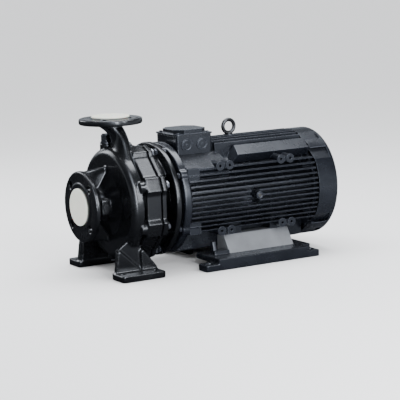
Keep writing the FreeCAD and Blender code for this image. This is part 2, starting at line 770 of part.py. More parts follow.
def impeller_blade():
    """One backward-curved blade, an arc swept between the shrouds."""
    back = IMPELLER_BACK_X - SHROUD / 2
    middle_r = (BLADE_INNER_R + IMPELLER_R) / 2
    centre = around(HUB_FRONT_X, middle_r * 0.55, 40)
    outer = rod(centre, SHAFTWISE, BLADE_ARC_R, back - HUB_FRONT_X)
    inner = rod(centre, SHAFTWISE, BLADE_ARC_R - BLADE_THICK, back - HUB_FRONT_X)
    shell = outer.cut(inner)
    edge_x = IMPELLER_BACK_X - SHROUD - OUTLET_WIDTH - SHROUD / 2
    sector = turned([(EYE_SHOULDER_X + SHROUD / 2, BLADE_INNER_R),
                     (EYE_SHOULDER_X + SHROUD / 2, EYE_SHOULDER_R), (edge_x, IMPELLER_R),
                     (back, IMPELLER_R), (back, BLADE_INNER_R)])
    half = Part.makeBox(back - HUB_FRONT_X, IMPELLER_R, 2 * IMPELLER_R,
                        V(HUB_FRONT_X, -IMPELLER_R, SHAFT_HEIGHT - IMPELLER_R))
    return shell.common(sector).common(half).Solids[0]


def impeller():
    """Closed impeller: hub and back shroud, blades, front shroud with its eye ring."""
    front_x = IMPELLER_BACK_X - SHROUD - OUTLET_WIDTH
    hub = turned([(HUB_FRONT_X, SHAFT_IMPELLER_R), (HUB_FRONT_X, HUB_R, 4.0),
                  (IMPELLER_BACK_X - SHROUD, HUB_R + SHROUD * 2), (IMPELLER_BACK_X - SHROUD, IMPELLER_R),
                  (IMPELLER_BACK_X, IMPELLER_R), (IMPELLER_BACK_X, SHAFT_IMPELLER_R)])
    eye_outer = EYE_R + EYE_RING_WALL
    shroud = turned([(front_x, IMPELLER_R), (EYE_SHOULDER_X + SHROUD, EYE_SHOULDER_R),
                     (EYE_SHOULDER_X, EYE_R), (EYE_FRONT_X, EYE_R), (EYE_FRONT_X, eye_outer),
                     (EYE_SHOULDER_X - SHROUD, eye_outer), (EYE_SHOULDER_X, EYE_SHOULDER_R),
                     (front_x - SHROUD, IMPELLER_R)])
    blade = impeller_blade()
    blades = [turn_copy(blade, 360 * k / BLADE_COUNT) for k in range(BLADE_COUNT)]
    return without(joined([hub, shroud] + blades), [key_block(FIT)])


def key_block(slack):
    """Parallel key between shaft and impeller, or its slot with some slack."""
    half = KEY_WIDE / 2 + slack
    start = IMPELLER_BACK_X - KEY_LONG
    low = SHAFT_HEIGHT + SHAFT_IMPELLER_R - KEY_HIGH
    return block((start, -half, low), (IMPELLER_BACK_X, half, low + 2 * KEY_HIGH - 2 + slack))


def impeller_key():
    return key_block(0)


def impeller_washer():
    return tube(HUB_FRONT_X - IMPELLER_WASHER, HUB_FRONT_X, IMPELLER_WASHER_R, SHAFT_THREAD_R + FIT)


def impeller_nut():
    front = HUB_FRONT_X - IMPELLER_WASHER
    nut = hexagon(V(front, 0, SHAFT_HEIGHT), V(-1, 0, 0), IMPELLER_NUT_FLATS, IMPELLER_NUT_HIGH)
    return nut.cut(tube(front - IMPELLER_NUT_HIGH, front, SHAFT_THREAD_R))


# Casing cover and shaft seal

def seal_cover():
    """Cup that closes the casing and holds the stationary seal seat."""
    rear = CASING_REAR + FLANGE_GAP
    disc_back = COVER_FRONT_X + COVER_DISC
    seat_back = SEAL_SEAT_X + SEAL_SEAT_LONG
    outer = COVER_R - FIT
    cup = turned([(COVER_FRONT_X, SEAL_CHAMBER_R), (COVER_FRONT_X, outer), (rear, outer),
                  (rear, outer - COVER_RIM_WALL), (disc_back, outer - COVER_RIM_WALL, 6.0),
                  (disc_back, SEAL_HOUSING_R, 6.0), (seat_back + COVER_BACK_WALL, SEAL_HOUSING_R),
                  (seat_back + COVER_BACK_WALL, SHAFT_NECK_R), (seat_back, SHAFT_NECK_R),
                  (seat_back, SEAL_SEAT_R), (SEAL_SEAT_X - 1, SEAL_SEAT_R), (SEAL_SEAT_X - 1, SEAL_CHAMBER_R)])
    return cup.cut(o_ring_shape(O_RING_R + LOOSE))


def o_ring_shape(radius):
    """Ring or groove in the cover's rim, flush with the rim."""
    middle = COVER_R - FIT - O_RING_R
    torus = Part.makeTorus(middle, radius, V(O_RING_X, 0, SHAFT_HEIGHT), SHAFTWISE)
    return torus


def casing_o_ring():
    return o_ring_shape(O_RING_R)


def seal_seat():
    return tube(SEAL_SEAT_X, SEAL_SEAT_X + SEAL_SEAT_LONG, SEAL_SEAT_R - FIT, SHAFT_SEAL_R + 1.5)


def seal_face():
    end = SEAL_SEAT_X - LOOSE
    return tube(end - SEAL_FACE_LONG, end, SEAL_FACE_R, SHAFT_SEAL_R)


def seal_collar():
    return tube(IMPELLER_BACK_X, IMPELLER_BACK_X + SEAL_COLLAR_LONG, SEAL_COLLAR_R, SHAFT_SEAL_R)


def seal_bellows():
    """Pleated rubber sleeve that presses the rotating face against the seat."""
    start = IMPELLER_BACK_X + SEAL_COLLAR_LONG
    end = SEAL_SEAT_X - LOOSE - SEAL_FACE_LONG
    pitch = (end - start) / BELLOWS_PLEATS
    crests, roots = [], []
    for pleat in range(BELLOWS_PLEATS):
        middle = start + pitch * (pleat + 0.5)
        crests += [(middle - pitch / 2, SEAL_FACE_R - BELLOWS_DEEP), (middle, SEAL_FACE_R)]
        roots += [(middle - pitch / 2, SHAFT_SEAL_R + 1), (middle, SEAL_FACE_R - BELLOWS_DEEP)]
    crests.append((end, SEAL_FACE_R - BELLOWS_DEEP))
    roots.append((end, SHAFT_SEAL_R + 1))
    return turned(crests + roots[::-1])


def water_slinger():
    return turned([(SLINGER_X, SHAFT_NECK_R), (SLINGER_X, SLINGER_R), (SLINGER_X + 3, SLINGER_R),
                   (SLINGER_X + SLINGER_LONG, SHAFT_NECK_R + 5), (SLINGER_X + SLINGER_LONG, SHAFT_NECK_R)])


# Motor adapter and the bolts through it

def adapter_front_x():
    return CASING_REAR + FLANGE_GAP


def motor_adapter():
    """Lantern with a lobed flange to the casing, two windows and a round flange to the motor."""
    front = adapter_front_x()
    flange_end = front + ADAPTER_FLANGE
    ring_start = ADAPTER_REAR_FACE_X - ADAPTER_RING
    wall_inner = ADAPTER_WALL_R - ADAPTER_WALL
    shape = turned([(front, ADAPTER_OPENING_R), (front, CASING_FLANGE_R), (flange_end, CASING_FLANGE_R, 2.0),
                    (flange_end, ADAPTER_WALL_R, ADAPTER_FILLET),
                    (ring_start, ADAPTER_WALL_R, ADAPTER_FILLET),
                    (ring_start, ADAPTER_RING_R, 3.0), (ADAPTER_REAR_FACE_X, ADAPTER_RING_R, 3.0),
                    (ADAPTER_REAR_FACE_X, MOTOR_SPIGOT_R), (ring_start, MOTOR_SPIGOT_R),
                    (ring_start, wall_inner - 5), (flange_end, wall_inner - 5),
                    (flange_end, ADAPTER_OPENING_R)])
    shape = joined([shape] + lug_ring(front, flange_end, LUG_R) + lug_saddles(front, flange_end))
    cuts = [window_wedge(side, flange_end + FIT, ring_start - FIT) for side in SIDES]
    cuts += lug_ring(front, flange_end, M12[0] + HOLE_SLACK)
    cuts += motor_bolt_rods(ring_start, ADAPTER_REAR_FACE_X, M10[0] + HOLE_SLACK)
    return without(shape, cuts)


def window_wedge(side, start_x, end_x):
    """Wedge that opens the lantern's wall on one side."""
    reach = ADAPTER_RING_R * 2
    rise = reach * math.tan(math.radians(WINDOW_HALF_ANGLE))
    corners = [(0, SHAFT_HEIGHT), (side * reach, SHAFT_HEIGHT + rise), (side * reach, SHAFT_HEIGHT - rise)]
    return cross_plate(corners, start_x, end_x)


def motor_bolt_rods(start_x, end_x, radius):
    """Rods at the four bolts between adapter and motor."""
    return [rod(around(start_x, MOTOR_BOLT_CIRCLE_R, angle), SHAFTWISE, radius, end_x - start_x)
            for angle in four_angles(MOTOR_BOLT_ANGLE)]


def casing_bolt_seats():
    step = 360 / LUG_COUNT
    rear = adapter_front_x() + ADAPTER_FLANGE
    return [around(rear, LUG_CIRCLE_R, LUG_START_ANGLE + step * k) for k in range(LUG_COUNT)]


def casing_bolts():
    grip = ADAPTER_FLANGE + FLANGE_GAP + WASHER + CASING_FLANGE_THICK - CASING_WALL
    return [bolt(seat + SHAFTWISE * WASHER, SHAFTWISE, M12, grip) for seat in casing_bolt_seats()]


def washer(seat, direction, size):
    """Plain washer that stands on the seat."""
    outer = size[1] / 2 + WASHER_OVERHANG
    return rod(seat, direction, outer, WASHER).cut(rod(seat, direction, size[0], WASHER))


def casing_washers():
    return [washer(seat, SHAFTWISE, M12) for seat in casing_bolt_seats()]


def adapter_bolts():
    """Bolts through the adapter's ring into the drive end shield."""
    seat_x = ADAPTER_REAR_FACE_X - ADAPTER_RING
    length = ADAPTER_RING + SHIELD_WALL + SHIELD_FRONT_X - ADAPTER_REAR_FACE_X
    return [bolt(around(seat_x, MOTOR_BOLT_CIRCLE_R, angle), V(-1, 0, 0), M10, length)
            for angle in four_angles(MOTOR_BOLT_ANGLE)]


# Motor end shields

def drive_bearing_x():
    return SHIELD_FRONT_X


def drive_end_shield():
    """Cast shield with the adapter spigot, the bearing seat and the rim against the frame."""
    seat = DRIVE_BEARING_R
    front = SHIELD_FRONT_X - SHIELD_WALL
    bearing_end = drive_bearing_x() + DRIVE_BEARING_WIDE
    spigot_x = ADAPTER_REAR_FACE_X - ADAPTER_RING / 2
    shape = turned([(front, SHAFT_BEARING_R + 1.5), (front, seat + BEARING_HOUSING_WALL),
                    (ADAPTER_REAR_FACE_X + 2, MOTOR_SPIGOT_R - SHIELD_WALL),
                    (spigot_x, MOTOR_SPIGOT_R - SHIELD_WALL), (spigot_x, MOTOR_SPIGOT_R - FIT),
                    (ADAPTER_REAR_FACE_X, MOTOR_SPIGOT_R - FIT), (ADAPTER_REAR_FACE_X, SHIELD_STEP_R),
                    (SHIELD_FRONT_X, SHIELD_STEP_R, ADAPTER_FILLET / 2), (SHIELD_FRONT_X, SHIELD_R, 4.0),
                    (FRAME_START_X, SHIELD_R), (FRAME_START_X, FRAME_BORE_R - FIT),
                    (FRAME_START_X + 8, FRAME_BORE_R - FIT), (FRAME_START_X + 8, FRAME_BORE_R - SHIELD_WALL),
                    (SHIELD_FRONT_X + SHIELD_WALL, FRAME_BORE_R - SHIELD_WALL),
                    (SHIELD_FRONT_X + SHIELD_WALL, seat + BEARING_HOUSING_WALL),
                    (bearing_end, seat + BEARING_HOUSING_WALL), (bearing_end, seat), (SHIELD_FRONT_X, seat),
                    (SHIELD_FRONT_X, SHAFT_BEARING_R + 1.5)])
    lugs = motor_bolt_rods(ADAPTER_REAR_FACE_X, SHIELD_FRONT_X + SHIELD_WALL / 2, MOTOR_BOLT_LUG_R)
    corner_lugs = [rod(around(SHIELD_FRONT_X, SHIELD_LUG_CIRCLE_R, angle), SHAFTWISE, SHIELD_LUG_R + 3,
                       FRAME_START_X - SHIELD_FRONT_X) for angle in shield_bolt_angles()]
    body = joined([shape] + lugs + corner_lugs)
    cuts = motor_bolt_rods(ADAPTER_REAR_FACE_X, SHIELD_FRONT_X + SHIELD_WALL, M10[0])
    cuts += [rod(around(SHIELD_FRONT_X, SHIELD_LUG_CIRCLE_R, angle), SHAFTWISE, M8[0] + HOLE_SLACK,
                 FRAME_START_X - SHIELD_FRONT_X) for angle in shield_bolt_angles()]
    return without(body, cuts)


def shield_bolt_angles():
    return four_angles(SHIELD_LUG_ANGLE)


def shield_bolts_front():
    length = FRAME_START_X - SHIELD_FRONT_X + FRAME_CORNER_LONG / 2
    seats = [around(SHIELD_FRONT_X, SHIELD_LUG_CIRCLE_R, angle) for angle in shield_bolt_angles()]
    return [bolt(seat, V(-1, 0, 0), M8, length) for seat in seats]


def fan_bearing_x():
    return FRAME_END_X - FAN_BEARING_WIDE + 4


def fan_end_shield():
    """Shield that closes the frame at the fan end and seats the fan bearing."""
    seat = FAN_BEARING_R
    start = fan_bearing_x()
    back = FRAME_END_X + FAN_SHIELD_THICK
    disc_x = FRAME_END_X + FAN_SHIELD_THICK - SHIELD_WALL
    plate = turned([(start, seat), (start, seat + BEARING_HOUSING_WALL),
                           (disc_x, seat + BEARING_HOUSING_WALL), (disc_x, FRAME_BORE_R - SHIELD_WALL),
                           (FRAME_END_X - 8, FRAME_BORE_R - SHIELD_WALL), (FRAME_END_X - 8, FRAME_BORE_R - FIT),
                           (FRAME_END_X, FRAME_BORE_R - FIT), (FRAME_END_X, FAN_SHIELD_R),
                           (back - 4, FAN_SHIELD_R, 3.0), (back, FAN_SHIELD_R - 18),
                           (back, SHAFT_FAN_R + 1.5), (back - 4, SHAFT_FAN_R + 1.5),
                           (back - 4, seat)])
    cuts = [rod(around(FRAME_END_X - 8, FAN_SHIELD_BOLT_R, angle), SHAFTWISE, M8[0], FAN_SHIELD_THICK + 8)
            for angle in shield_bolt_angles()]
    cuts += [rod(cowl_screw_seat(angle), -outward(angle), M5[0], COWL_SCREW_LONG)
             for angle in cowl_flat_angles()]
    return without(joined([plate] + cowl_lugs()), cuts)


def cowl_lugs():
    """Lugs of the rear shield that carry the cowl's flats."""
    lug = block((FRAME_END_X, -COWL_FLAT_DISTANCE + COWL_WALL, SHAFT_HEIGHT - COWL_FOOT_WIDE / 2),
                (COWL_START_X + COWL_FOOT_LONG, -COWL_FOOT_BASE_R, SHAFT_HEIGHT + COWL_FOOT_WIDE / 2))
    return [turn_copy(lug, angle) for angle in cowl_flat_angles()]


def shield_bolts_rear():
    seats = [around(FRAME_END_X + FAN_SHIELD_THICK, FAN_SHIELD_BOLT_R, angle)
             for angle in shield_bolt_angles()]
    return [bolt(seat, SHAFTWISE, M8, FAN_SHIELD_THICK + 8) for seat in seats]


# Motor frame

def frame_envelope():
    return tube(FRAME_START_X, FRAME_END_X, FRAME_FIN_R, FRAME_BORE_R - FRAME_SHELL)


def side_fins():
    """Level cooling fins, from the bore out to the frame's round envelope on both sides."""
    half = (SIDE_FINS - 1) / 2
    fins = []
    for k in range(SIDE_FINS):
        z = SHAFT_HEIGHT + (k - half) * FIN_PITCH
        fins.append(block((FRAME_START_X, -FRAME_FIN_R, z - FIN_THICK / 2),
                          (FRAME_END_X, FRAME_FIN_R, z + FIN_THICK / 2)))
    return fins


def upright_fins():
    """Fins under the frame over its whole length, and on top behind the terminal box."""
    half = (TOP_FINS - 1) / 2
    fins = []
    for k in range(TOP_FINS):
        y = (k - half) * TOP_FIN_PITCH
        fins.append(block((FRAME_START_X, y - FIN_THICK / 2, SHAFT_HEIGHT - FRAME_FIN_R),
                          (FRAME_END_X, y + FIN_THICK / 2, SHAFT_HEIGHT)))
        fins.append(block((PEDESTAL_END_X - 10, y - FIN_THICK / 2, SHAFT_HEIGHT),
                          (FRAME_END_X, y + FIN_THICK / 2, SHAFT_HEIGHT + FRAME_FIN_R)))
    return fins


def shoulder_duct():
    """Smooth raised band along the frame's upper near edge, with a raked front end."""
    top_z = SHAFT_HEIGHT + DUCT_TOP_RISE
    low_z = SHAFT_HEIGHT + DUCT_LOW_RISE
    corners = [(-DUCT_TOP_Y, top_z), (-DUCT_LOW_Y, low_z), (-DUCT_LOW_Y + 14, low_z - 22),
               (-DUCT_TOP_Y + 20, top_z - 34)]
    band = cross_plate(corners, DUCT_START_X, FRAME_END_X)
    rake = side_plate([(DUCT_START_X - 1, low_z - 40), (DUCT_START_X - 1, top_z + 1),
                       (DUCT_START_X + DUCT_SLANT, top_z + 1)], -DUCT_LOW_Y - 10, 0)
    return band.cut(rake)


def pedestal():
    """Sloping cast shoulders that carry the terminal box at the drive end."""
    low_z = SHAFT_HEIGHT + PEDESTAL_LOW_RISE
    deep_z = SHAFT_HEIGHT + PEDESTAL_LOW_RISE / 2
    corners = [(-BOX_HALF_WIDE, BOX_FLOOR_Z), (-PEDESTAL_LOW_Y, low_z), (-PEDESTAL_LOW_Y + 14, deep_z),
               (PEDESTAL_LOW_Y - 14, deep_z), (PEDESTAL_LOW_Y, low_z), (BOX_HALF_WIDE, BOX_FLOOR_Z)]
    body = cross_plate(corners, FRAME_START_X + 4, PEDESTAL_END_X)
    return body.cut(tube(FRAME_START_X, PEDESTAL_END_X, FRAME_BORE_R - FRAME_SHELL))


def corner_blocks():
    """Square bosses at the drive end that take the end shield's bolts."""
    half = FRAME_CORNER_SIZE / 2
    blocks = []
    for angle in shield_bolt_angles():
        middle = around(FRAME_START_X, SHIELD_LUG_CIRCLE_R, angle)
        low = (FRAME_START_X, middle.y - half * 0.8, middle.z - half)
        high = (FRAME_START_X + FRAME_CORNER_LONG, middle.y + half * 0.8, middle.z + half)
        blocks.append(block(low, high))
    return blocks


def rear_bosses():
    """Round bosses at the fan end that take the rear shield's bolts."""
    start = FRAME_END_X - REAR_BOSS_LONG
    return [rod(around(start, FAN_SHIELD_BOLT_R, angle), SHAFTWISE, REAR_BOSS_R, REAR_BOSS_LONG)
            for angle in shield_bolt_angles()]


def pad_places():
    """X and height of each round mounting pad on one side of the frame."""
    places = []
    for pair_x in PAD_PAIR_X:
        for shift in (-PAD_PITCH / 2, PAD_PITCH / 2):
            for rise in (-PAD_RISE, PAD_RISE):
                places.append((pair_x + shift, SHAFT_HEIGHT + rise))
    return places


def pads():
    inner = FRAME_BORE_R * 0.62
    solids = [rod(V(x, side * inner, z), V(0, side, 0), PAD_R, PAD_FACE_Y - inner)
              for side in SIDES for x, z in pad_places()]
    for side in SIDES:
        for pair_x in PAD_PAIR_X:
            for rise in (-PAD_RISE, PAD_RISE):
                z = SHAFT_HEIGHT + rise
                solids.append(block((pair_x - PAD_PITCH / 2, side * inner, z - PAD_R / 2),
                                    (pair_x + PAD_PITCH / 2, side * (PAD_FACE_Y - 6), z + PAD_R / 2)))
    return solids


def pad_holes():
    return [rod(V(x, side * PAD_FACE_Y, z), V(0, -side, 0), PAD_HOLE_R, PAD_HOLE_DEEP)
            for side in SIDES for x, z in pad_places()]


def foot_seats():
    """Blocks under the frame that the motor feet are bolted to."""
    half = FOOT_SEAT_LONG / 2
    seats = []
    for side in SIDES:
        for pair_x in FOOT_SEAT_X:
            seats.append(block((pair_x - half, side * MOTOR_FOOT_INNER_Y, FOOT_SEAT_Z),
                               (pair_x + half, side * MOTOR_FOOT_TOP_Y, SHAFT_HEIGHT - FRAME_BORE_R / 2)))
    return seats


def seat_bolt_places():
    return [(seat_x, side * FOOT_SEAT_BOLT_Y) for seat_x in FOOT_SEAT_X for side in SIDES]


def motor_frame():
    bore = tube(FRAME_START_X, FRAME_END_X, FRAME_BORE_R)
    shell = tube(FRAME_START_X, FRAME_END_X, FRAME_BORE_R + FRAME_SHELL, FRAME_BORE_R - FRAME_SHELL)
    envelope = frame_envelope()
    finned = joined([shell] + [fin.common(envelope) for fin in side_fins() + upright_fins()])
    pocket_z = (SHAFT_HEIGHT - CENTRE_POCKET_HIGH / 2, SHAFT_HEIGHT + CENTRE_POCKET_HIGH / 2)
    pockets = [block((CENTRE_BOSS_X - CENTRE_POCKET_LONG, side * (FRAME_BORE_R + FRAME_SHELL), pocket_z[0]),
                     (CENTRE_BOSS_X, side * FRAME_FIN_R, pocket_z[1])) for side in SIDES]
    finned = without(finned, pockets)
    bosses = [rod(V(CENTRE_BOSS_X, side * FRAME_BORE_R, SHAFT_HEIGHT), V(0, side, 0), CENTRE_BOSS_R,
                  FRAME_FIN_R - FRAME_BORE_R) for side in SIDES]
    eye_boss = rod(V(EYE_BOLT_X, 0, SHAFT_HEIGHT + FRAME_BORE_R), UPRIGHT, EYE_BOSS_R,
                   EYE_BOSS_TOP - SHAFT_HEIGHT - FRAME_BORE_R)
    extras = bosses + [eye_boss, shoulder_duct(), mirrored(shoulder_duct()), pedestal()]
    extras += corner_blocks() + pads() + foot_seats() + rear_bosses()
    body = finned.multiFuse(extras)
    cuts = [bore] + pad_holes() + [rod(around(FRAME_START_X, SHIELD_LUG_CIRCLE_R, angle), SHAFTWISE, M8[0],
                              FRAME_CORNER_LONG / 2) for angle in shield_bolt_angles()]
    cuts += [rod(around(FRAME_END_X - 8, FAN_SHIELD_BOLT_R, angle), SHAFTWISE, M8[0], 8)
             for angle in shield_bolt_angles()]
    cuts.append(rod(V(EYE_BOLT_X, 0, EYE_BOSS_TOP - EYE_THREAD_LONG), UPRIGHT, EYE_WIRE_R, EYE_THREAD_LONG))
    cuts += [rod(V(x, y, FOOT_SEAT_Z), UPRIGHT, M10[0], M10[0] * 3) for x, y in seat_bolt_places()]
    return body.cut(cuts)


# Stator, rotor, shaft and bearings

def stator_core():
    inner = ROTOR_R + AIR_GAP
    return tube(CORE_START_X, CORE_START_X + CORE_LONG, FRAME_BORE_R, inner)


def stator_windings():
    """The two coil heads that stand out of the stator core."""
    heads = []
    for start, end in ((CORE_START_X - WINDING_OVERHANG, CORE_START_X),
                       (CORE_START_X + CORE_LONG, CORE_START_X + CORE_LONG + WINDING_OVERHANG)):
        heads.append(turned([(start, WINDING_INNER_R, 8.0), (start, WINDING_OUTER_R, 8.0),
                             (end, WINDING_OUTER_R, 8.0), (end, WINDING_INNER_R, 8.0)]))
    return heads


def rotor_core():
    return tube(CORE_START_X, CORE_START_X + CORE_LONG, ROTOR_R, SHAFT_BODY_R)


def rotor_end_rings():
    ends = ((CORE_START_X - END_RING_LONG, CORE_START_X),
            (CORE_START_X + CORE_LONG, CORE_START_X + CORE_LONG + END_RING_LONG))
    return [tube(start, end, ROTOR_R - 2, ROTOR_R - END_RING_WALL) for start, end in ends]


def motor_shaft():
    """One shaft from the impeller nut to the fan, stepped for each piece that it carries."""
    drive_x = drive_bearing_x()
    fan_x = fan_bearing_x()
    steps = [(SHAFT_START_X, SHAFT_THREAD_R), (HUB_FRONT_X, SHAFT_IMPELLER_R),
             (IMPELLER_BACK_X, SHAFT_SEAL_R), (SHAFT_SEAL_END_X, SHAFT_NECK_R),
             (SHIELD_FRONT_X - SHIELD_WALL / 2, SHAFT_BEARING_R),
             (drive_x + DRIVE_BEARING_WIDE, SHAFT_BODY_R), (fan_x, SHAFT_BEARING_R),
             (fan_x + FAN_BEARING_WIDE, SHAFT_FAN_R), (SHAFT_END_X, 0)]
    corners = [(SHAFT_START_X, 0)]
    for (start, radius), (end, following) in zip(steps, steps[1:]):
        corners += [(start, radius), (end, radius)]
    corners.append((SHAFT_END_X, 0))
    return turned(corners).cut(key_block(0))


def bearing_pitch(outer_r):
    return (outer_r + SHAFT_BEARING_R) / 2


def ball_centres(x, outer_r):
    return [around(x, bearing_pitch(outer_r), 360 * k / BALL_COUNT) for k in range(BALL_COUNT)]


def race_groove(x, outer_r, ball_r):
    return Part.makeTorus(bearing_pitch(outer_r), ball_r + LOOSE, V(x, 0, SHAFT_HEIGHT), SHAFTWISE)


def outer_race(start_x, outer_r, wide, ball_r):
    ring = tube(start_x, start_x + wide, outer_r - FIT, bearing_pitch(outer_r) + ball_r * 0.55)
    return ring.cut(race_groove(start_x + wide / 2, outer_r, ball_r))


def inner_race(start_x, outer_r, wide, ball_r):
    ring = tube(start_x, start_x + wide, bearing_pitch(outer_r) - ball_r * 0.55, SHAFT_BEARING_R)
    return ring.cut(race_groove(start_x + wide / 2, outer_r, ball_r))


def balls(start_x, outer_r, wide, ball_r):
    return [Part.makeSphere(ball_r, centre) for centre in ball_centres(start_x + wide / 2, outer_r)]


def cage(start_x, outer_r, wide, ball_r):
    """Ring with a round pocket for each ball."""
    pitch = bearing_pitch(outer_r)
    half = ball_r * CAGE_WIDE_SHARE
    middle = start_x + wide / 2
    ring = tube(middle - half, middle + half, pitch + ball_r * 0.25, pitch - ball_r * 0.25)
    pockets = [rod(centre - (centre - V(middle, 0, SHAFT_HEIGHT)) * 0.5, centre - V(middle, 0, SHAFT_HEIGHT),
                   ball_r + FIT, pitch) for centre in ball_centres(middle, outer_r)]
    return ring.cut(pockets)


def drive_bearing():
    return drive_bearing_x(), DRIVE_BEARING_R, DRIVE_BEARING_WIDE, DRIVE_BALL_R


def fan_bearing():
    return fan_bearing_x(), FAN_BEARING_R, FAN_BEARING_WIDE, FAN_BALL_R


def wave_spring():
    """Preload ring between the fan bearing and its shield."""
    start = fan_bearing_x() + FAN_BEARING_WIDE
    end = FRAME_END_X + FAN_SHIELD_THICK - 4
    return tube(start, end, FAN_BEARING_R - FIT, FAN_BEARING_R - WAVE_SPRING_WIDE * 2)


def bearing_cover():
    """Inner cover that holds the drive bearing in its seat."""
    start = drive_bearing_x() + DRIVE_BEARING_WIDE
    return tube(start, start + 5, DRIVE_BEARING_R + BEARING_HOUSING_WALL, SHAFT_BODY_R + 1.5)


# Fan and cowl

def cooling_fan():
    """Radial fan: hub, disc and straight blades."""
    hub = tube(FAN_START_X, FAN_START_X + FAN_HUB_LONG, FAN_HUB_R)
    disc = tube(FAN_START_X, FAN_START_X + FAN_DISC_THICK, FAN_DISC_R)
    blade = block((FAN_START_X, -FAN_BLADE_THICK / 2, SHAFT_HEIGHT + FAN_HUB_R - 2),
                  (FAN_START_X + FAN_BLADE_DEEP, FAN_BLADE_THICK / 2, SHAFT_HEIGHT + FAN_DISC_R - 1))
    blades = [turn_copy(blade, 360 * k / FAN_BLADES) for k in range(FAN_BLADES)]
    bore = tube(FAN_START_X, FAN_START_X + FAN_HUB_LONG, SHAFT_FAN_R)
    return without(joined([hub, disc] + blades), [bore])


def fan_clip():
    start = FAN_START_X + FAN_HUB_LONG
    return tube(start, start + 1.5, SHAFT_FAN_R + 4, SHAFT_FAN_R)


def cowl_body(inset):
    """Cup of the cowl, smaller all round by the inset, with its four corner flats."""
    radius = COWL_R - inset
    end = COWL_END_X - inset
    cup = turned([(COWL_START_X, 0), (COWL_START_X, radius), (end - 4, radius, COWL_ROUND - inset),
                  (end, radius - COWL_ROUND * 2, COWL_ROUND), (end, 0)])
    flats = []
    for angle in cowl_flat_angles():
        seat = around(COWL_START_X, COWL_FLAT_DISTANCE - inset, angle)
        slab = rod(seat, outward(angle), COWL_FLAT_LONG * 2, COWL_ROUND)
        cutter = slab.common(tube(COWL_START_X, COWL_START_X + COWL_FLAT_LONG + inset, COWL_R + COWL_ROUND))
        flats.append(cutter)
    return cup.cut(flats)


def cowl_flat_angles():
    return four_angles(COWL_FLAT_ANGLE)


def grille_cuts():
    """Radial air slots in the cowl's end, in two rings."""
    cuts = []
    for ring, (inner, outer) in enumerate(GRILLE_RINGS):
        for k in range(GRILLE_SLOTS):
            angle = 360 * (k + ring / 2) / GRILLE_SLOTS
            start = SHAFT_HEIGHT + inner
            slot = block((COWL_END_X - COWL_ROUND, -GRILLE_SLOT_WIDE / 2, start),
                         (COWL_END_X + 1, GRILLE_SLOT_WIDE / 2, start + outer - inner))
            cuts.append(turn_copy(slot, angle))
    return cuts


def cowl_screw_seat(angle):
    return around(COWL_START_X + COWL_FOOT_LONG / 2, COWL_FLAT_DISTANCE, angle)


def fan_cowl():
    """Drawn cowl, with a bracket inside each flat that reaches back to the end shield."""
    shell = cowl_body(0).cut(cowl_body(COWL_WALL))
    cuts = grille_cuts()
    cuts += [rod(cowl_screw_seat(angle) - outward(angle) * 20, outward(angle), M5[0], 40)
             for angle in cowl_flat_angles()]
    return without(shell, cuts)


def cowl_screws():
    return [bolt(cowl_screw_seat(angle), outward(angle), M5, COWL_SCREW_LONG) for angle in cowl_flat_angles()]


# Lifting eye and terminal box

def eye_bolt():
    ring = Part.makeTorus(EYE_RING_R, EYE_WIRE_R, V(EYE_BOLT_X, 0, EYE_CENTRE_Z), V(0, 1, 0))
    seat = V(EYE_BOLT_X, 0, EYE_BOSS_TOP)
    collar = rod(seat, UPRIGHT, EYE_COLLAR_R, EYE_COLLAR)
    opening = rod(V(EYE_BOLT_X, -EYE_COLLAR_R, EYE_CENTRE_Z), V(0, 1, 0), EYE_RING_R - EYE_WIRE_R,
                  2 * EYE_COLLAR_R)
    thread = rod(seat - UPRIGHT * EYE_THREAD_LONG, UPRIGHT, EYE_WIRE_R, EYE_THREAD_LONG)
    return joined([ring.cut(rod(seat - UPRIGHT * EYE_COLLAR_R, UPRIGHT, EYE_COLLAR_R, EYE_COLLAR_R)),
                   collar.cut(opening), thread])


def box_outline(inset, corner):
    """Plan corners of the terminal box, smaller all round by the inset."""
    return rectangle(BOX_START_X + inset, -BOX_HALF_WIDE + inset, BOX_START_X + BOX_LONG - inset,
                     BOX_HALF_WIDE - inset, corner)


def entry_places():
    middle = BOX_START_X + BOX_LONG / 2
    return [(middle + shift, side) for shift in (-ENTRY_PITCH / 2, ENTRY_PITCH / 2) for side in SIDES]


def terminal_box():
    body = plan_plate(box_outline(0, BOX_CORNER_R), BOX_FLOOR_Z, BOX_TOP_Z)
    hollow = plan_plate(box_outline(BOX_WALL, BOX_CORNER_R - BOX_WALL / 2), BOX_FLOOR_Z + BOX_WALL, BOX_TOP_Z)
    posts = [rod(V(x, y, BOX_FLOOR_Z), UPRIGHT, M5[0] + 3.5, BOX_TOP_Z - BOX_FLOOR_Z)
             for x, y in lid_screw_places()]
    shell = joined([without(body, [hollow])] + posts)
    cuts = [rod(V(x, side * (BOX_HALF_WIDE - BOX_WALL), BOX_FLOOR_Z + ENTRY_RISE), V(0, side, 0), ENTRY_R,
                BOX_WALL) for x, side in entry_places()]
    cuts += [rod(V(x, y, BOX_TOP_Z - 14), UPRIGHT, M5[0], 14) for x, y in lid_screw_places()]
    return without(shell, cuts)


def lid_screw_places():
    inset = LID_SCREW_INSET
    return [(x, y) for x in (BOX_START_X + inset, BOX_START_X + BOX_LONG - inset)
            for y in (-BOX_HALF_WIDE + inset, BOX_HALF_WIDE - inset)]


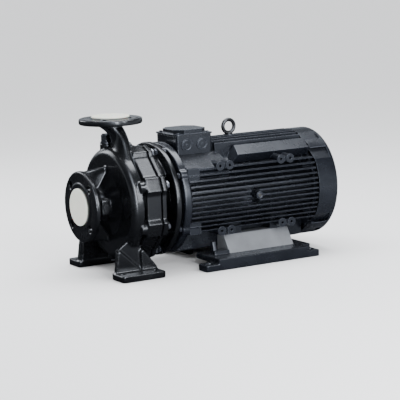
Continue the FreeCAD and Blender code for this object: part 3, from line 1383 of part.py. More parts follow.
def terminal_gasket():
    sheet = plan_plate(box_outline(0.5, BOX_CORNER_R), BOX_TOP_Z, BOX_TOP_Z + GASKET)
    hole = plan_plate(box_outline(BOX_WALL, BOX_CORNER_R - BOX_WALL / 2), BOX_TOP_Z, BOX_TOP_Z + GASKET)
    eyes = [rod(V(x, y, BOX_TOP_Z), UPRIGHT, M5[0] + 3.5, GASKET) for x, y in lid_screw_places()]
    holes = [rod(V(x, y, BOX_TOP_Z), UPRIGHT, M5[0], GASKET) for x, y in lid_screw_places()]
    return without(joined([without(sheet, [hole])] + eyes), holes)


def lid_outline(inset):
    """Eight-sided plan of the lid's raised middle."""
    low_x = BOX_START_X + inset
    high_x = BOX_START_X + BOX_LONG - inset
    half = BOX_HALF_WIDE - inset
    cut = LID_CHAMFER - inset / 2
    return [(low_x + cut, -half), (high_x - cut, -half), (high_x, -half + cut), (high_x, half - cut),
            (high_x - cut, half), (low_x + cut, half), (low_x, half - cut), (low_x, -half + cut)]


def lid_under_z():
    return BOX_TOP_Z + GASKET


def terminal_lid():
    """Lid with a thin flange and a raised eight-sided middle that is hollow below."""
    under = lid_under_z()
    rim = plan_plate(box_outline(-LID_OVERHANG, BOX_CORNER_R + LID_OVERHANG), under, under + LID_FLANGE)
    raised = plan_plate(lid_outline(LID_INSET), under, under + LID_FLANGE + LID_RAISE)
    hollow = plan_plate(lid_outline(LID_INSET + BOX_WALL), under, under + LID_FLANGE + LID_RAISE - BOX_WALL)
    holes = [rod(V(x, y, under), UPRIGHT, M5[0] + FIT, LID_FLANGE) for x, y in lid_screw_places()]
    return without(joined([rim, raised]), [hollow] + holes)


def lid_screws():
    seat = lid_under_z() + LID_FLANGE
    return [bolt(V(x, y, seat), UPRIGHT, M5, GASKET + LID_FLANGE + 10) for x, y in lid_screw_places()]


def cable_entry_plugs():
    plugs = []
    for x, side in entry_places():
        wall = V(x, side * BOX_HALF_WIDE, BOX_FLOOR_Z + ENTRY_RISE)
        head = rod(wall, V(0, side, 0), ENTRY_R + ENTRY_PLUG_RIM, ENTRY_PLUG_PROUD)
        body = rod(wall, V(0, -side, 0), ENTRY_R, BOX_WALL)
        plugs.append(joined([head, body]))
    return plugs


def terminal_board():
    middle = BOX_START_X + BOX_LONG / 2
    floor = BOX_FLOOR_Z + BOX_WALL
    board = plan_plate(rectangle(middle - BOARD_LONG / 2, -BOARD_WIDE / 2, middle + BOARD_LONG / 2,
                                 BOARD_WIDE / 2, 3.0), floor, floor + BOARD_THICK)
    return without(board, [rod(V(x, y, floor), UPRIGHT, STUD_R, BOARD_THICK) for x, y in stud_places()])


def stud_places():
    middle = BOX_START_X + BOX_LONG / 2
    return [(middle + STUD_PITCH * k, STUD_PITCH * row / 2) for k in (-1, 0, 1) for row in (-1, 1)]


def terminal_studs():
    floor = BOX_FLOOR_Z + BOX_WALL
    studs = []
    for x, y in stud_places():
        stem = rod(V(x, y, floor), UPRIGHT, STUD_R, BOARD_THICK + STUD_HIGH)
        nut = hexagon(V(x, y, floor + BOARD_THICK), UPRIGHT, STUD_R * 3.3, STUD_R * 1.6)
        studs.append(joined([stem, nut]))
    return studs


# Motor feet and support rails

def support_rail():
    """Rail on the floor: slotted lugs at both ends, and a raised shelf that is open underneath."""
    half_lug = RAIL_LUG_WIDE
    outer = -RAIL_OUTER_Y
    base = plan_plate(rectangle(RAIL_START_X, outer, RAIL_END_X, outer + half_lug, 5.0), 0, RAIL_LUG_THICK)
    shelf_start = RAIL_START_X + RAIL_LUG_LONG
    shelf_end = RAIL_END_X - RAIL_LUG_LONG
    base = base.cut(block((shelf_start, outer + RAIL_WALL, 0),
                          (shelf_end, outer + half_lug, RAIL_TOP_Z - RAIL_TOP_THICK)))
    shelf = plan_plate([(shelf_start, outer), (shelf_end, outer), (shelf_end, outer + RAIL_STEP_BACK),
                        (shelf_end + RAIL_LUG_LONG - 8, outer + RAIL_STEP_BACK),
                        (shelf_end + RAIL_LUG_LONG - 8, -RAIL_INNER_Y), (shelf_start, -RAIL_INNER_Y)],
                       RAIL_TOP_Z - RAIL_TOP_THICK, RAIL_TOP_Z)
    ribs = [block((x - RAIL_WALL / 2, outer + 1, 0), (x + RAIL_WALL / 2, -RAIL_INNER_Y - 6, RAIL_TOP_Z - 1))
            for x in PAD_PAIR_X]
    wall = block((shelf_start, outer, 0), (shelf_end, outer + RAIL_WALL, RAIL_TOP_Z))
    slots = [obround(x, outer + half_lug / 2, 0, RAIL_TOP_Z, RAIL_SLOT_LONG, RAIL_SLOT_WIDE)
             for x in rail_slot_xs()]
    threads = [rod(V(x, y, 0), UPRIGHT, M10[0], RAIL_TOP_Z) for x, y in foot_bolt_places() if y < 0]
    return without(joined([base, shelf, wall, rail_spur()] + ribs), slots + threads)


def rail_spur():
    """Upright stop at the drive end of the shelf, in front of the motor foot."""
    low_y = -MOTOR_FOOT_BASE_Y
    bottom, top = RAIL_TOP_Z - RAIL_TOP_THICK / 2, RAIL_TOP_Z + RAIL_SPUR_HIGH
    spur = [(low_y, bottom), (low_y + RAIL_SPUR_WIDE, bottom), (low_y + RAIL_SPUR_WIDE, top),
            (low_y + RAIL_SPUR_WIDE / 2, top)]
    plate = cross_plate(spur, RAIL_SPUR_X, RAIL_SPUR_X + RAIL_WALL)
    tread = plan_plate(rectangle(RAIL_SPUR_X, low_y + LOOSE, MOTOR_FOOT_START_X - LOOSE, low_y + RAIL_SPUR_WIDE),
                       bottom, RAIL_TOP_Z + MOTOR_FOOT_FLANGE)
    return joined([plate, tread])


def rail_slot_xs():
    return (RAIL_START_X + RAIL_LUG_LONG / 2, RAIL_END_X - RAIL_LUG_LONG / 2)


def foot_bolt_places():
    """Bolts from the motor feet down into the rails."""
    y = (MOTOR_FOOT_INNER_Y + MOTOR_FOOT_BASE_Y) / 2
    xs = [sum(PAD_PAIR_X) / 2 + way * (MOTOR_FOOT_END_X - MOTOR_FOOT_START_X) / 3 for way in (-1, 1)]
    return [(x, side * y) for x in xs for side in SIDES]


def motor_foot():
    """Foot with a flat base, a web that leans in towards the frame, and a top flange."""
    base_z = RAIL_TOP_Z + MOTOR_FOOT_FLANGE
    top_z = FOOT_SEAT_Z
    flange_z = top_z - MOTOR_FOOT_FLANGE
    wall = MOTOR_FOOT_WALL
    low_y, high_y, inner = -MOTOR_FOOT_BASE_Y, -MOTOR_FOOT_TOP_Y, -MOTOR_FOOT_INNER_Y
    profile = [(low_y, RAIL_TOP_Z), (inner, RAIL_TOP_Z), (inner, base_z), (low_y + wall + 7, base_z),
               (high_y + wall + 3, flange_z), (inner, flange_z), (inner, top_z), (high_y, top_z)]
    body = cross_plate(profile, MOTOR_FOOT_START_X, MOTOR_FOOT_END_X)
    middles = [(MOTOR_FOOT_START_X + wall / 2), (MOTOR_FOOT_END_X - wall / 2)]
    side = [(low_y + 4, RAIL_TOP_Z + 1), (inner, RAIL_TOP_Z + 1), (inner, top_z - 1), (high_y + 2, top_z - 1)]
    cheeks = [cross_plate(side, x - wall / 2, x + wall / 2) for x in middles]
    cuts = [rod(V(x, y, RAIL_TOP_Z), UPRIGHT, M10[0] + HOLE_SLACK, MOTOR_FOOT_FLANGE)
            for x, y in foot_bolt_places() if y < 0]
    cuts += [rod(V(x, y, flange_z), UPRIGHT, M10[0] + HOLE_SLACK, MOTOR_FOOT_FLANGE)
             for x, y in seat_bolt_places() if y < 0]
    return without(joined([body] + cheeks), cuts)


def foot_bolts():
    """Bolts of both feet: down into the rails and up into the frame."""
    low = RAIL_TOP_Z + MOTOR_FOOT_FLANGE
    high = FOOT_SEAT_Z - MOTOR_FOOT_FLANGE
    down = [bolt(V(x, y, low), UPRIGHT, M10, MOTOR_FOOT_FLANGE + 14) for x, y in foot_bolt_places()]
    up = [bolt(V(x, y, high), -UPRIGHT, M10, MOTOR_FOOT_FLANGE + 12) for x, y in seat_bolt_places()]
    return down + up


# Every piece of the pump, by name
PIECES = {
    "volute_casing": volute_casing,
    "suction_cap": suction_cap,
    "discharge_cap": discharge_cap,
    "priming_plug": priming_plug,
    "gauge_plug": gauge_plug,
    "drain_plug": drain_plug,
    "wear_ring": wear_ring,
    "impeller": impeller,
    "impeller_key": impeller_key,
    "impeller_washer": impeller_washer,
    "impeller_nut": impeller_nut,
    "seal_cover": seal_cover,
    "casing_o_ring": casing_o_ring,
    "seal_seat": seal_seat,
    "seal_face": seal_face,
    "seal_collar": seal_collar,
    "seal_bellows": seal_bellows,
    "water_slinger": water_slinger,
    "motor_adapter": motor_adapter,
    "casing_bolts": casing_bolts,
    "casing_washers": casing_washers,
    "adapter_bolts": adapter_bolts,
    "drive_end_shield": drive_end_shield,
    "shield_bolts_front": shield_bolts_front,
    "motor_frame": motor_frame,
    "stator_core": stator_core,
    "stator_windings": stator_windings,
    "rotor_core": rotor_core,
    "rotor_end_rings": rotor_end_rings,
    "motor_shaft": motor_shaft,
    "drive_bearing_outer": lambda: outer_race(*drive_bearing()),
    "drive_bearing_inner": lambda: inner_race(*drive_bearing()),
    "drive_bearing_balls": lambda: balls(*drive_bearing()),
    "drive_bearing_cage": lambda: cage(*drive_bearing()),
    "bearing_cover": bearing_cover,
    "fan_bearing_outer": lambda: outer_race(*fan_bearing()),
    "fan_bearing_inner": lambda: inner_race(*fan_bearing()),
    "fan_bearing_balls": lambda: balls(*fan_bearing()),
    "fan_bearing_cage": lambda: cage(*fan_bearing()),
    "wave_spring": wave_spring,
    "fan_end_shield": fan_end_shield,
    "shield_bolts_rear": shield_bolts_rear,
    "cooling_fan": cooling_fan,
    "fan_clip": fan_clip,
    "fan_cowl": fan_cowl,
    "cowl_screws": cowl_screws,
    "eye_bolt": eye_bolt,
    "terminal_box": terminal_box,
    "terminal_gasket": terminal_gasket,
    "terminal_lid": terminal_lid,
    "lid_screws": lid_screws,
    "cable_entry_plugs": cable_entry_plugs,
    "terminal_board": terminal_board,
    "terminal_studs": terminal_studs,
    "near_motor_foot": motor_foot,
    "far_motor_foot": lambda: mirrored(motor_foot()),
    "near_support_rail": support_rail,
    "far_support_rail": lambda: mirrored(support_rail()),
    "foot_bolts": foot_bolts,
}

os.makedirs("parts", exist_ok=True)
for piece_name, make in PIECES.items():
    save(piece_name, make())
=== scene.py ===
# %% [markdown]
# # A monoblock pump
# A monoblock pump is a centrifugal pump and an electric motor on one shaft: water enters the round flange at the
# front, the spiral casing throws it up through the top flange, and a finned motor behind a short lantern drives it.
# The engineering model already holds every piece at its real size, so this lesson is about looks: a photographer's
# set, cast skin under black paint, plated bolts with real chamfers, and the plastic caps of a pump in transit.

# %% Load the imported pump
import json
import math

import bmesh
import bpy
import numpy as np
from mathutils import Matrix, Vector


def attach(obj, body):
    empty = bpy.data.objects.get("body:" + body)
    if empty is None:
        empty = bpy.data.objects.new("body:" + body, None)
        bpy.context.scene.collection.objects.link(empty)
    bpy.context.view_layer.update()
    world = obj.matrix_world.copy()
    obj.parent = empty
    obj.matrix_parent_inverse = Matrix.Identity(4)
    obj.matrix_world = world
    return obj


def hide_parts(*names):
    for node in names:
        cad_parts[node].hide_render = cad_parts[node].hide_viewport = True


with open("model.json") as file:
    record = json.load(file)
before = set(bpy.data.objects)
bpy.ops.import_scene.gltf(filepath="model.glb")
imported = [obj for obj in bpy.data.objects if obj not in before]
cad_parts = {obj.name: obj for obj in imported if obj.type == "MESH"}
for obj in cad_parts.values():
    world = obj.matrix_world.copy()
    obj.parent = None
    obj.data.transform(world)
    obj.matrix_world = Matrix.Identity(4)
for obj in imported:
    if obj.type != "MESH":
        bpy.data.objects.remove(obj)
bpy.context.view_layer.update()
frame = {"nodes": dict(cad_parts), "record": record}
slot_of = {part["node"]: part["material_slot"] for part in frame["record"]["subparts"]}


# %% [markdown]
# ## The camera
# A product photographer stands a few metres off with a long lens, so that the pump keeps its proportions. A camera
# could be turned by three Euler angles; building its axes from the viewing direction is easier to read, because
# azimuth, elevation and a slight roll are what one measures in a photograph.

# %% Camera from azimuth, elevation and roll
AZIMUTH, ELEVATION, ROLL = math.radians(-30.482), math.radians(9.306), math.radians(-1.788)
AIM = Vector((0.261027, 0, 0.158885))
DISTANCE = 4.229
LENS_SHARE = 3.93


def camera_axes(azimuth, elevation, roll):
    """Right, up and backward directions of a camera that looks at the pump."""
    back = Vector((math.sin(azimuth) * math.cos(elevation), -math.cos(azimuth) * math.cos(elevation),
                   math.sin(elevation)))
    level = (-back).cross(Vector((0, 0, 1))).normalized()
    rise = level.cross(-back)
    right = level * math.cos(roll) + rise * math.sin(roll)
    return right, rise * math.cos(roll) - level * math.sin(roll), back


right, rise, back = camera_axes(AZIMUTH, ELEVATION, ROLL)
lens = bpy.data.cameras.new("portrait_lens")
lens.sensor_width = 36
lens.lens = lens.sensor_width * LENS_SHARE
lens.clip_end = 100
camera = bpy.data.objects.new("portrait_camera", lens)
camera.matrix_world = Matrix((right, rise, back)).transposed().to_4x4()
camera.location = AIM + back * DISTANCE
bpy.context.scene.collection.objects.link(camera)
bpy.context.scene.camera = camera
print("lens", round(lens.lens, 1), "mm")

# %% [markdown]
# ## Small helpers for node trees
# Every finish below is a tree of shader nodes. Writing each node as four lines would bury the idea, so a few helpers
# add a node with its socket values, join sockets, stretch a range, do a sum and blend two colours. Values that are
# the same everywhere go on the shader's own sockets, and only what varies over the surface is linked.

# %% Node helpers
def add(tree, kind, values=None, **settings):
    """New node with its settings and the values of its named or numbered sockets."""
    node = tree.nodes.new(kind)
    for name, value in settings.items():
        setattr(node, name, value)
    for socket, value in (values or {}).items():
        node.inputs[socket].default_value = value
    return node


def join(tree, *pairs):
    """Links each pair's first socket to its second."""
    for source, target in pairs:
        tree.links.new(source, target)


def blank(name):
    """New material, its tree and its shader."""
    finish = bpy.data.materials.new(name)
    finish.use_nodes = True
    return finish, finish.node_tree, finish.node_tree.nodes["Principled BSDF"]


def spread(tree, source, low, high, from_low=0.3, from_high=0.7):
    """The source's middle range, stretched to low..high."""
    node = add(tree, "ShaderNodeMapRange",
               {"From Min": from_low, "From Max": from_high, "To Min": low, "To Max": high})
    join(tree, (source, node.inputs["Value"]))
    return node.outputs["Result"]


def calculated(tree, operation, first, second):
    """Result of a sum on two values; either may be a socket or a fixed number."""
    node = add(tree, "ShaderNodeMath", operation=operation)
    for index, value in enumerate((first, second)):
        if isinstance(value, bpy.types.NodeSocket):
            join(tree, (value, node.inputs[index]))
        else:
            node.inputs[index].default_value = value
    return node.outputs[0]


def blend_colours(tree, share, first, second):
    """Colour between two, by a share that varies; either may be a socket or a fixed colour."""
    node = add(tree, "ShaderNodeMix", data_type="RGBA")
    join(tree, (share, node.inputs[0]))
    for index, colour in ((6, first), (7, second)):
        if isinstance(colour, bpy.types.NodeSocket):
            join(tree, (colour, node.inputs[index]))
        else:
            node.inputs[index].default_value = (*colour, 1)
    return node.outputs[2]


# %% [markdown]
# ## The set
# A pale paper floor lies under and far behind the pump. Black paint shows almost nothing of its own colour, only what
# it mirrors, and on a pale floor it would turn grey. A photographer keeps the mirrored things dark with black cards
# just outside the picture. A card of geometry would cut the views from other sides, so the floor's material does it
# instead: a Light Path node gives mirrored rays a dark floor that grows pale only towards the lens.

# %% Paper floor
FLOOR_REACH = 40.0
FLOOR_SIDES = 96
FLOOR_DROP = 0.0005
FLOOR_PAINTED_SHADE_NEAR, FLOOR_PAINTED_LIGHT_FAR = (0.78, 0.78, 0.78), (0.84, 0.84, 0.84)
MIRRORED_DARK, MIRRORED_PALE = (0.02, 0.021, 0.024), (0.3, 0.31, 0.33)
LENS_SIDE = (0.5, -0.85, 0)


def ring_of(count, radius, z):
    """Points of a regular polygon about the origin, at that height."""
    turns = [2 * math.pi * k / count for k in range(count)]
    return [(radius * math.cos(turn), radius * math.sin(turn), z) for turn in turns]


floor_mesh = bpy.data.meshes.new("studio_floor")
floor_mesh.from_pydata(ring_of(FLOOR_SIDES, FLOOR_REACH, -FLOOR_DROP), [], [list(range(FLOOR_SIDES))])
floor = bpy.data.objects.new("studio_floor", floor_mesh)
bpy.context.scene.collection.objects.link(floor)

floor_finish, tree, shader = blank("floor_paper")
place = add(tree, "ShaderNodeTexCoord")
centred = add(tree, "ShaderNodeMapping", {"Location": (-AIM.x, 0, 0)})
distance = add(tree, "ShaderNodeVectorMath", operation="LENGTH")
join(tree, (place.outputs["Object"], centred.inputs["Vector"]), (centred.outputs["Vector"], distance.inputs[0]))
# Painted light and shade: the paper is painted a little darker near the pump and paler far off; this is not a tone of
# the paper itself.
painted_light_by_distance = add(tree, "ShaderNodeMapRange", {"From Min": 0.2, "From Max": 2.4, "To Min": 0, "To Max": 1},
           interpolation_type="SMOOTHSTEP")
join(tree, (distance.outputs["Value"], painted_light_by_distance.inputs["Value"]))
grain = add(tree, "ShaderNodeTexNoise", {"Scale": 900, "Detail": 2})
join(tree, (place.outputs["Object"], grain.inputs["Vector"]))
grain_bump = add(tree, "ShaderNodeBump", {"Strength": 0.1, "Distance": 0.0002})
join(tree, (grain.outputs["Fac"], grain_bump.inputs["Height"]),
     (grain_bump.outputs["Normal"], shader.inputs["Normal"]),
     (blend_colours(tree, painted_light_by_distance.outputs["Result"], FLOOR_PAINTED_SHADE_NEAR, FLOOR_PAINTED_LIGHT_FAR), shader.inputs["Base Color"]))
shader.inputs["Roughness"].default_value = 0.9
shader.inputs["Specular IOR Level"].default_value = 0.1
toward_lens = add(tree, "ShaderNodeVectorMath", {1: LENS_SIDE}, operation="DOT_PRODUCT")
join(tree, (place.outputs["Object"], toward_lens.inputs[0]))
pale_share = spread(tree, toward_lens.outputs["Value"], 0, 1, 0.1, 1.6)
mirrored = add(tree, "ShaderNodeBsdfDiffuse")
join(tree, (blend_colours(tree, pale_share, MIRRORED_DARK, MIRRORED_PALE), mirrored.inputs["Color"]))
ray = add(tree, "ShaderNodeLightPath")
choice = add(tree, "ShaderNodeMixShader")
join(tree, (ray.outputs["Is Glossy Ray"], choice.inputs["Fac"]), (shader.outputs["BSDF"], choice.inputs[1]),
     (mirrored.outputs["BSDF"], choice.inputs[2]),
     (choice.outputs["Shader"], tree.nodes["Material Output"].inputs["Surface"]))
floor_mesh.materials.append(floor_finish)
print("floor of", FLOOR_SIDES, "sides,", 2 * FLOOR_REACH, "m wide")

# %% [markdown]
# ## Air and lamps
# The light is soft and cool, as in a hall with white walls. The air itself lights matt surfaces evenly from all sides,
# while paint mirrors a dark room: a pale backdrop low down, a lit ceiling, and one tall bright stripe on the near side
# that draws lines along the rounded edges. Four large panels do the rest: one overhead for the top fins, two upright
# ones on the near side for the casing's shoulder, and a weak one behind. A photo of a real room would also give
# reflections, but these few bands can be placed where the shine is wanted.

# %% Air that paint mirrors in another way
AIR_COLOUR, AIR_STRENGTH = (0.97, 0.98, 1.0, 1), 1.62
ROOM_COLOUR = (0.86, 0.92, 1.0, 1)
BACKDROP_GLOW, ROOM_GLOW, CEILING_GLOW, STRIPE_GLOW = 0.62, 0.03, 0.3, 5.0


def studio_air():
    """Even light for matt surfaces, and for mirrored rays a dark room with a backdrop, a ceiling and a stripe."""
    sky = bpy.data.worlds.new("studio_air")
    sky.use_nodes = True
    sky.cycles.sampling_method = "NONE"
    tree = sky.node_tree
    even = tree.nodes["Background"]
    even.inputs["Color"].default_value = AIR_COLOUR
    even.inputs["Strength"].default_value = AIR_STRENGTH
    room = add(tree, "ShaderNodeBackground", {"Color": ROOM_COLOUR})
    direction = add(tree, "ShaderNodeTexCoord")
    part = add(tree, "ShaderNodeSeparateXYZ")
    join(tree, (direction.outputs["Generated"], part.inputs[0]))
    backdrop = spread(tree, part.outputs["Z"], BACKDROP_GLOW, ROOM_GLOW, 0.12, 0.42)
    ceiling = spread(tree, part.outputs["Z"], 0, CEILING_GLOW, 0.4, 0.95)
    left_edge = spread(tree, part.outputs["X"], 0, 1, -0.5, -0.3)
    right_edge = spread(tree, part.outputs["X"], 1, 0, -0.05, 0.12)
    near_side = spread(tree, part.outputs["Y"], STRIPE_GLOW, 0, -0.5, -0.3)
    bands = calculated(tree, "ADD", backdrop, ceiling)
    stripe = calculated(tree, "MULTIPLY", calculated(tree, "MULTIPLY", left_edge, right_edge), near_side)
    join(tree, (calculated(tree, "ADD", stripe, bands), room.inputs["Strength"]))
    ray = add(tree, "ShaderNodeLightPath")
    choice = add(tree, "ShaderNodeMixShader")
    join(tree, (ray.outputs["Is Glossy Ray"], choice.inputs["Fac"]), (even.outputs[0], choice.inputs[1]),
         (room.outputs[0], choice.inputs[2]), (choice.outputs[0], tree.nodes["World Output"].inputs["Surface"]))
    return sky


bpy.context.scene.world = studio_air()
print("air strength", AIR_STRENGTH)

# %% Soft panels
LAMP_COLOUR = (0.95, 0.97, 1.0)


def panel(name, place, wide, high, power):
    """Rectangular soft lamp of cool daylight that faces the pump."""
    lamp = bpy.data.lights.new(name, "AREA")
    lamp.color = LAMP_COLOUR
    lamp.shape, lamp.size, lamp.size_y, lamp.energy = "RECTANGLE", wide, high, power
    holder = bpy.data.objects.new(name, lamp)
    holder.location = place
    holder.rotation_mode = "QUATERNION"
    holder.rotation_quaternion = (Vector(place) - AIM).to_track_quat("Z", "Y")
    bpy.context.scene.collection.objects.link(holder)
    return holder


panel("overhead_panel", (0.45, 0.3, 2.0), 2.0, 1.1, 60)
panel("near_side_panel", (0.95, -2.1, 1.05), 0.4, 1.4, 30)
panel("shoulder_strip", (-0.1, -2.4, 1.0), 0.3, 2.0, 50)
panel("rear_edge_panel", (-0.9, 1.9, 1.2), 0.8, 1.2, 22)

# %% [markdown]
# ## Black paint over cast iron
# The casting is poured in sand and dipped or sprayed in satin black, so its surface has a slow waviness, a fine
# orange peel, and edges where the paint draws thin. The edges are also painted paler: partly wear, partly a painted
# highlight. An image of paint would repeat; noise on Object coordinates never does, and a Bevel node rounds the
# normals at the edges so that each one has its glint.

# %% Paint finish
DUST_TONE, DUST_SHARE = (0.2, 0.205, 0.215), 0.09
COAT_WEIGHT, COAT_ROUGHNESS = 0.2, 0.24


def paint(name, colour, edge_wear_and_glint_colour, roughness, wave=(26, 0.0008), peel=(520, 0.00008), edge=0.0014,
          tint=(0.92, 0.95, 1.0)):
    """Satin paint: tone drift, wavy casting skin, orange peel, edges painted paler (wear and a painted highlight) and
    a little settled dust.
    """
    finish, tree, shader = blank(name)
    place = add(tree, "ShaderNodeTexCoord").outputs["Object"]
    drift = add(tree, "ShaderNodeTexNoise", {"Scale": 11, "Detail": 5, "Roughness": 0.6})
    waves = add(tree, "ShaderNodeTexNoise", {"Scale": wave[0], "Detail": 3})
    peels = add(tree, "ShaderNodeTexNoise", {"Scale": peel[0], "Detail": 2})
    specks = add(tree, "ShaderNodeTexNoise", {"Scale": 260, "Detail": 6, "Roughness": 0.7})
    for noise in (drift, waves, peels, specks):
        join(tree, (place, noise.inputs["Vector"]))
    rounded = add(tree, "ShaderNodeBevel", {"Radius": edge}, samples=6)
    facing = add(tree, "ShaderNodeNewGeometry")
    turn = add(tree, "ShaderNodeVectorMath", operation="DOT_PRODUCT")
    join(tree, (rounded.outputs["Normal"], turn.inputs[0]), (facing.outputs["Normal"], turn.inputs[1]))
    # Edges get a paler colour: partly wear, partly a painted highlight where the edges catch the light.
    at_edge = spread(tree, turn.outputs["Value"], 1, 0, 0.86, 0.99)
    worn_and_glint_share = calculated(tree, "MULTIPLY", at_edge, spread(tree, specks.outputs["Fac"], 0.1, 0.75))
    tone = blend_colours(tree, spread(tree, drift.outputs["Fac"], 0, 1), [c * 0.78 for c in colour],
                         [c * 1.3 for c in colour])
    tone = blend_colours(tree, worn_and_glint_share, tone, edge_wear_and_glint_colour)
    upward = add(tree, "ShaderNodeSeparateXYZ")
    join(tree, (facing.outputs["Normal"], upward.inputs[0]))
    dust = calculated(tree, "MULTIPLY", spread(tree, upward.outputs["Z"], 0, DUST_SHARE, 0.55, 1),
                      spread(tree, specks.outputs["Fac"], 0.2, 1))
    join(tree, (blend_colours(tree, dust, tone, DUST_TONE), shader.inputs["Base Color"]),
         (spread(tree, drift.outputs["Fac"], roughness - 0.07, roughness + 0.08), shader.inputs["Roughness"]))
    skin = add(tree, "ShaderNodeBump", {"Strength": 0.5, "Distance": wave[1]})
    fine = add(tree, "ShaderNodeBump", {"Strength": 0.5, "Distance": peel[1]})
    join(tree, (waves.outputs["Fac"], skin.inputs["Height"]), (rounded.outputs["Normal"], skin.inputs["Normal"]),
         (peels.outputs["Fac"], fine.inputs["Height"]), (skin.outputs["Normal"], fine.inputs["Normal"]),
         (fine.outputs["Normal"], shader.inputs["Normal"]))
    shader.inputs["Specular Tint"].default_value = (*tint, 1)
    shader.inputs["Coat Weight"].default_value = COAT_WEIGHT
    shader.inputs["Coat Roughness"].default_value = COAT_ROUGHNESS
    shader.inputs["Coat Tint"].default_value = (*tint, 1)
    return finish


finishes = {
    "casing_paint": paint("casing_black", (0.002, 0.0022, 0.0027), (0.085, 0.09, 0.1), 0.23),
    "motor_paint": paint("motor_blue_black", (0.0042, 0.005, 0.0072), (0.12, 0.13, 0.16), 0.25, wave=(18, 0.0006),
                         tint=(0.86, 0.91, 1.0)),
    # The pieces on this slot are black paint like the rest of the motor; their grey is a painted reflection of the
    # bright room they face.
    "web_grey": paint("foot_web_painted_reflection", (0.125, 0.13, 0.138), (0.28, 0.29, 0.3), 0.45),
    "eye_paint": paint("eye_black", (0.0035, 0.0035, 0.004), (0.09, 0.09, 0.1), 0.22, wave=(60, 0.0004)),
}
print("paints:", ", ".join(finishes))

# %% [markdown]
# ## Metals inside and out
# Plated bolts, a ground shaft, brass cages and an iron impeller differ in colour, but are made alike: a metallic
# shader, fine scratches that run one way, and a tone that drifts. One function with a stretch for the scratches
# covers them all, where a texture per metal would have to be drawn by hand.

# %% Metal finishes
def metal(name, colour, roughness, stretch=(1, 1, 1), scratch=0.0001, stain=0.2, metallic=1.0):
    """Bare or plated metal with directional scratches and faint stains."""
    finish, tree, shader = blank(name)
    place = add(tree, "ShaderNodeTexCoord").outputs["Object"]
    pulled = add(tree, "ShaderNodeMapping", {"Scale": stretch})
    lines = add(tree, "ShaderNodeTexNoise", {"Scale": 700, "Detail": 4, "Roughness": 0.65})
    stains = add(tree, "ShaderNodeTexNoise", {"Scale": 70, "Detail": 5})
    join(tree, (place, pulled.inputs["Vector"]), (pulled.outputs["Vector"], lines.inputs["Vector"]),
         (place, stains.inputs["Vector"]))
    rounded = add(tree, "ShaderNodeBevel", {"Radius": 0.0006}, samples=4)
    bump = add(tree, "ShaderNodeBump", {"Strength": 0.4, "Distance": scratch})
    join(tree, (lines.outputs["Fac"], bump.inputs["Height"]), (rounded.outputs["Normal"], bump.inputs["Normal"]),
         (bump.outputs["Normal"], shader.inputs["Normal"]))
    darker = [c * (1 - stain) for c in colour]
    join(tree, (blend_colours(tree, spread(tree, stains.outputs["Fac"], 0, 1), darker, colour),
                shader.inputs["Base Color"]),
         (spread(tree, lines.outputs["Fac"], roughness - 0.06, roughness + 0.1), shader.inputs["Roughness"]))
    shader.inputs["Metallic"].default_value = metallic
    return finish


finishes.update({
    "plated_steel": metal("zinc_plate", (0.36, 0.37, 0.39), 0.32),
    "shaft_steel": metal("ground_steel", (0.56, 0.57, 0.58), 0.24, stretch=(8, 1, 1)),
    "core_steel": metal("stacked_laminations", (0.3, 0.3, 0.32), 0.45, stretch=(14, 0.3, 0.3), scratch=0.0003),
    "bronze": metal("ring_bronze", (0.55, 0.36, 0.17), 0.3, stretch=(6, 1, 1)),
    "brass_cage": metal("cage_brass", (0.66, 0.5, 0.22), 0.28, stretch=(6, 1, 1)),
    "impeller_iron": metal("impeller_casting", (0.2, 0.195, 0.19), 0.6, scratch=0.0005, stain=0.35, metallic=0.7),
    "copper": metal("varnished_copper", (0.62, 0.26, 0.12), 0.3, stretch=(2, 0.4, 0.4), scratch=0.0006),
    "aluminium": metal("cast_aluminium", (0.68, 0.69, 0.71), 0.42, scratch=0.0003),
})
print("metals done,", len(finishes), "finishes")

# %% [markdown]
# ## Plastic, rubber and ceramic
# The transport caps are pressed from natural polyethylene: warm off-white, a little light passes into them, and
# handling leaves dull patches. Rubber and moulded plastic are darker and rougher. All are dielectrics, so one
# function sets colour, grain and gloss, with light scattered below the surface only where the caps need it.

# %% Moulded finishes
def moulded(name, colour, roughness, grain=420, depth=0.0002, glow=0.0):
    """Moulded material with a fine grain and handling marks."""
    finish, tree, shader = blank(name)
    place = add(tree, "ShaderNodeTexCoord").outputs["Object"]
    grains = add(tree, "ShaderNodeTexNoise", {"Scale": grain, "Detail": 3})
    marks = add(tree, "ShaderNodeTexNoise", {"Scale": 38, "Detail": 6, "Roughness": 0.7})
    join(tree, (place, grains.inputs["Vector"]), (place, marks.inputs["Vector"]))
    rounded = add(tree, "ShaderNodeBevel", {"Radius": 0.0008}, samples=4)
    bump = add(tree, "ShaderNodeBump", {"Strength": 0.35, "Distance": depth})
    join(tree, (grains.outputs["Fac"], bump.inputs["Height"]), (rounded.outputs["Normal"], bump.inputs["Normal"]),
         (bump.outputs["Normal"], shader.inputs["Normal"]),
         (blend_colours(tree, spread(tree, marks.outputs["Fac"], 0, 1), [c * 0.9 for c in colour], colour),
          shader.inputs["Base Color"]),
         (spread(tree, marks.outputs["Fac"], roughness + 0.08, roughness - 0.05), shader.inputs["Roughness"]))
    if glow:
        shader.inputs["Subsurface Weight"].default_value = glow
        shader.inputs["Subsurface Scale"].default_value = 0.004
    return finish


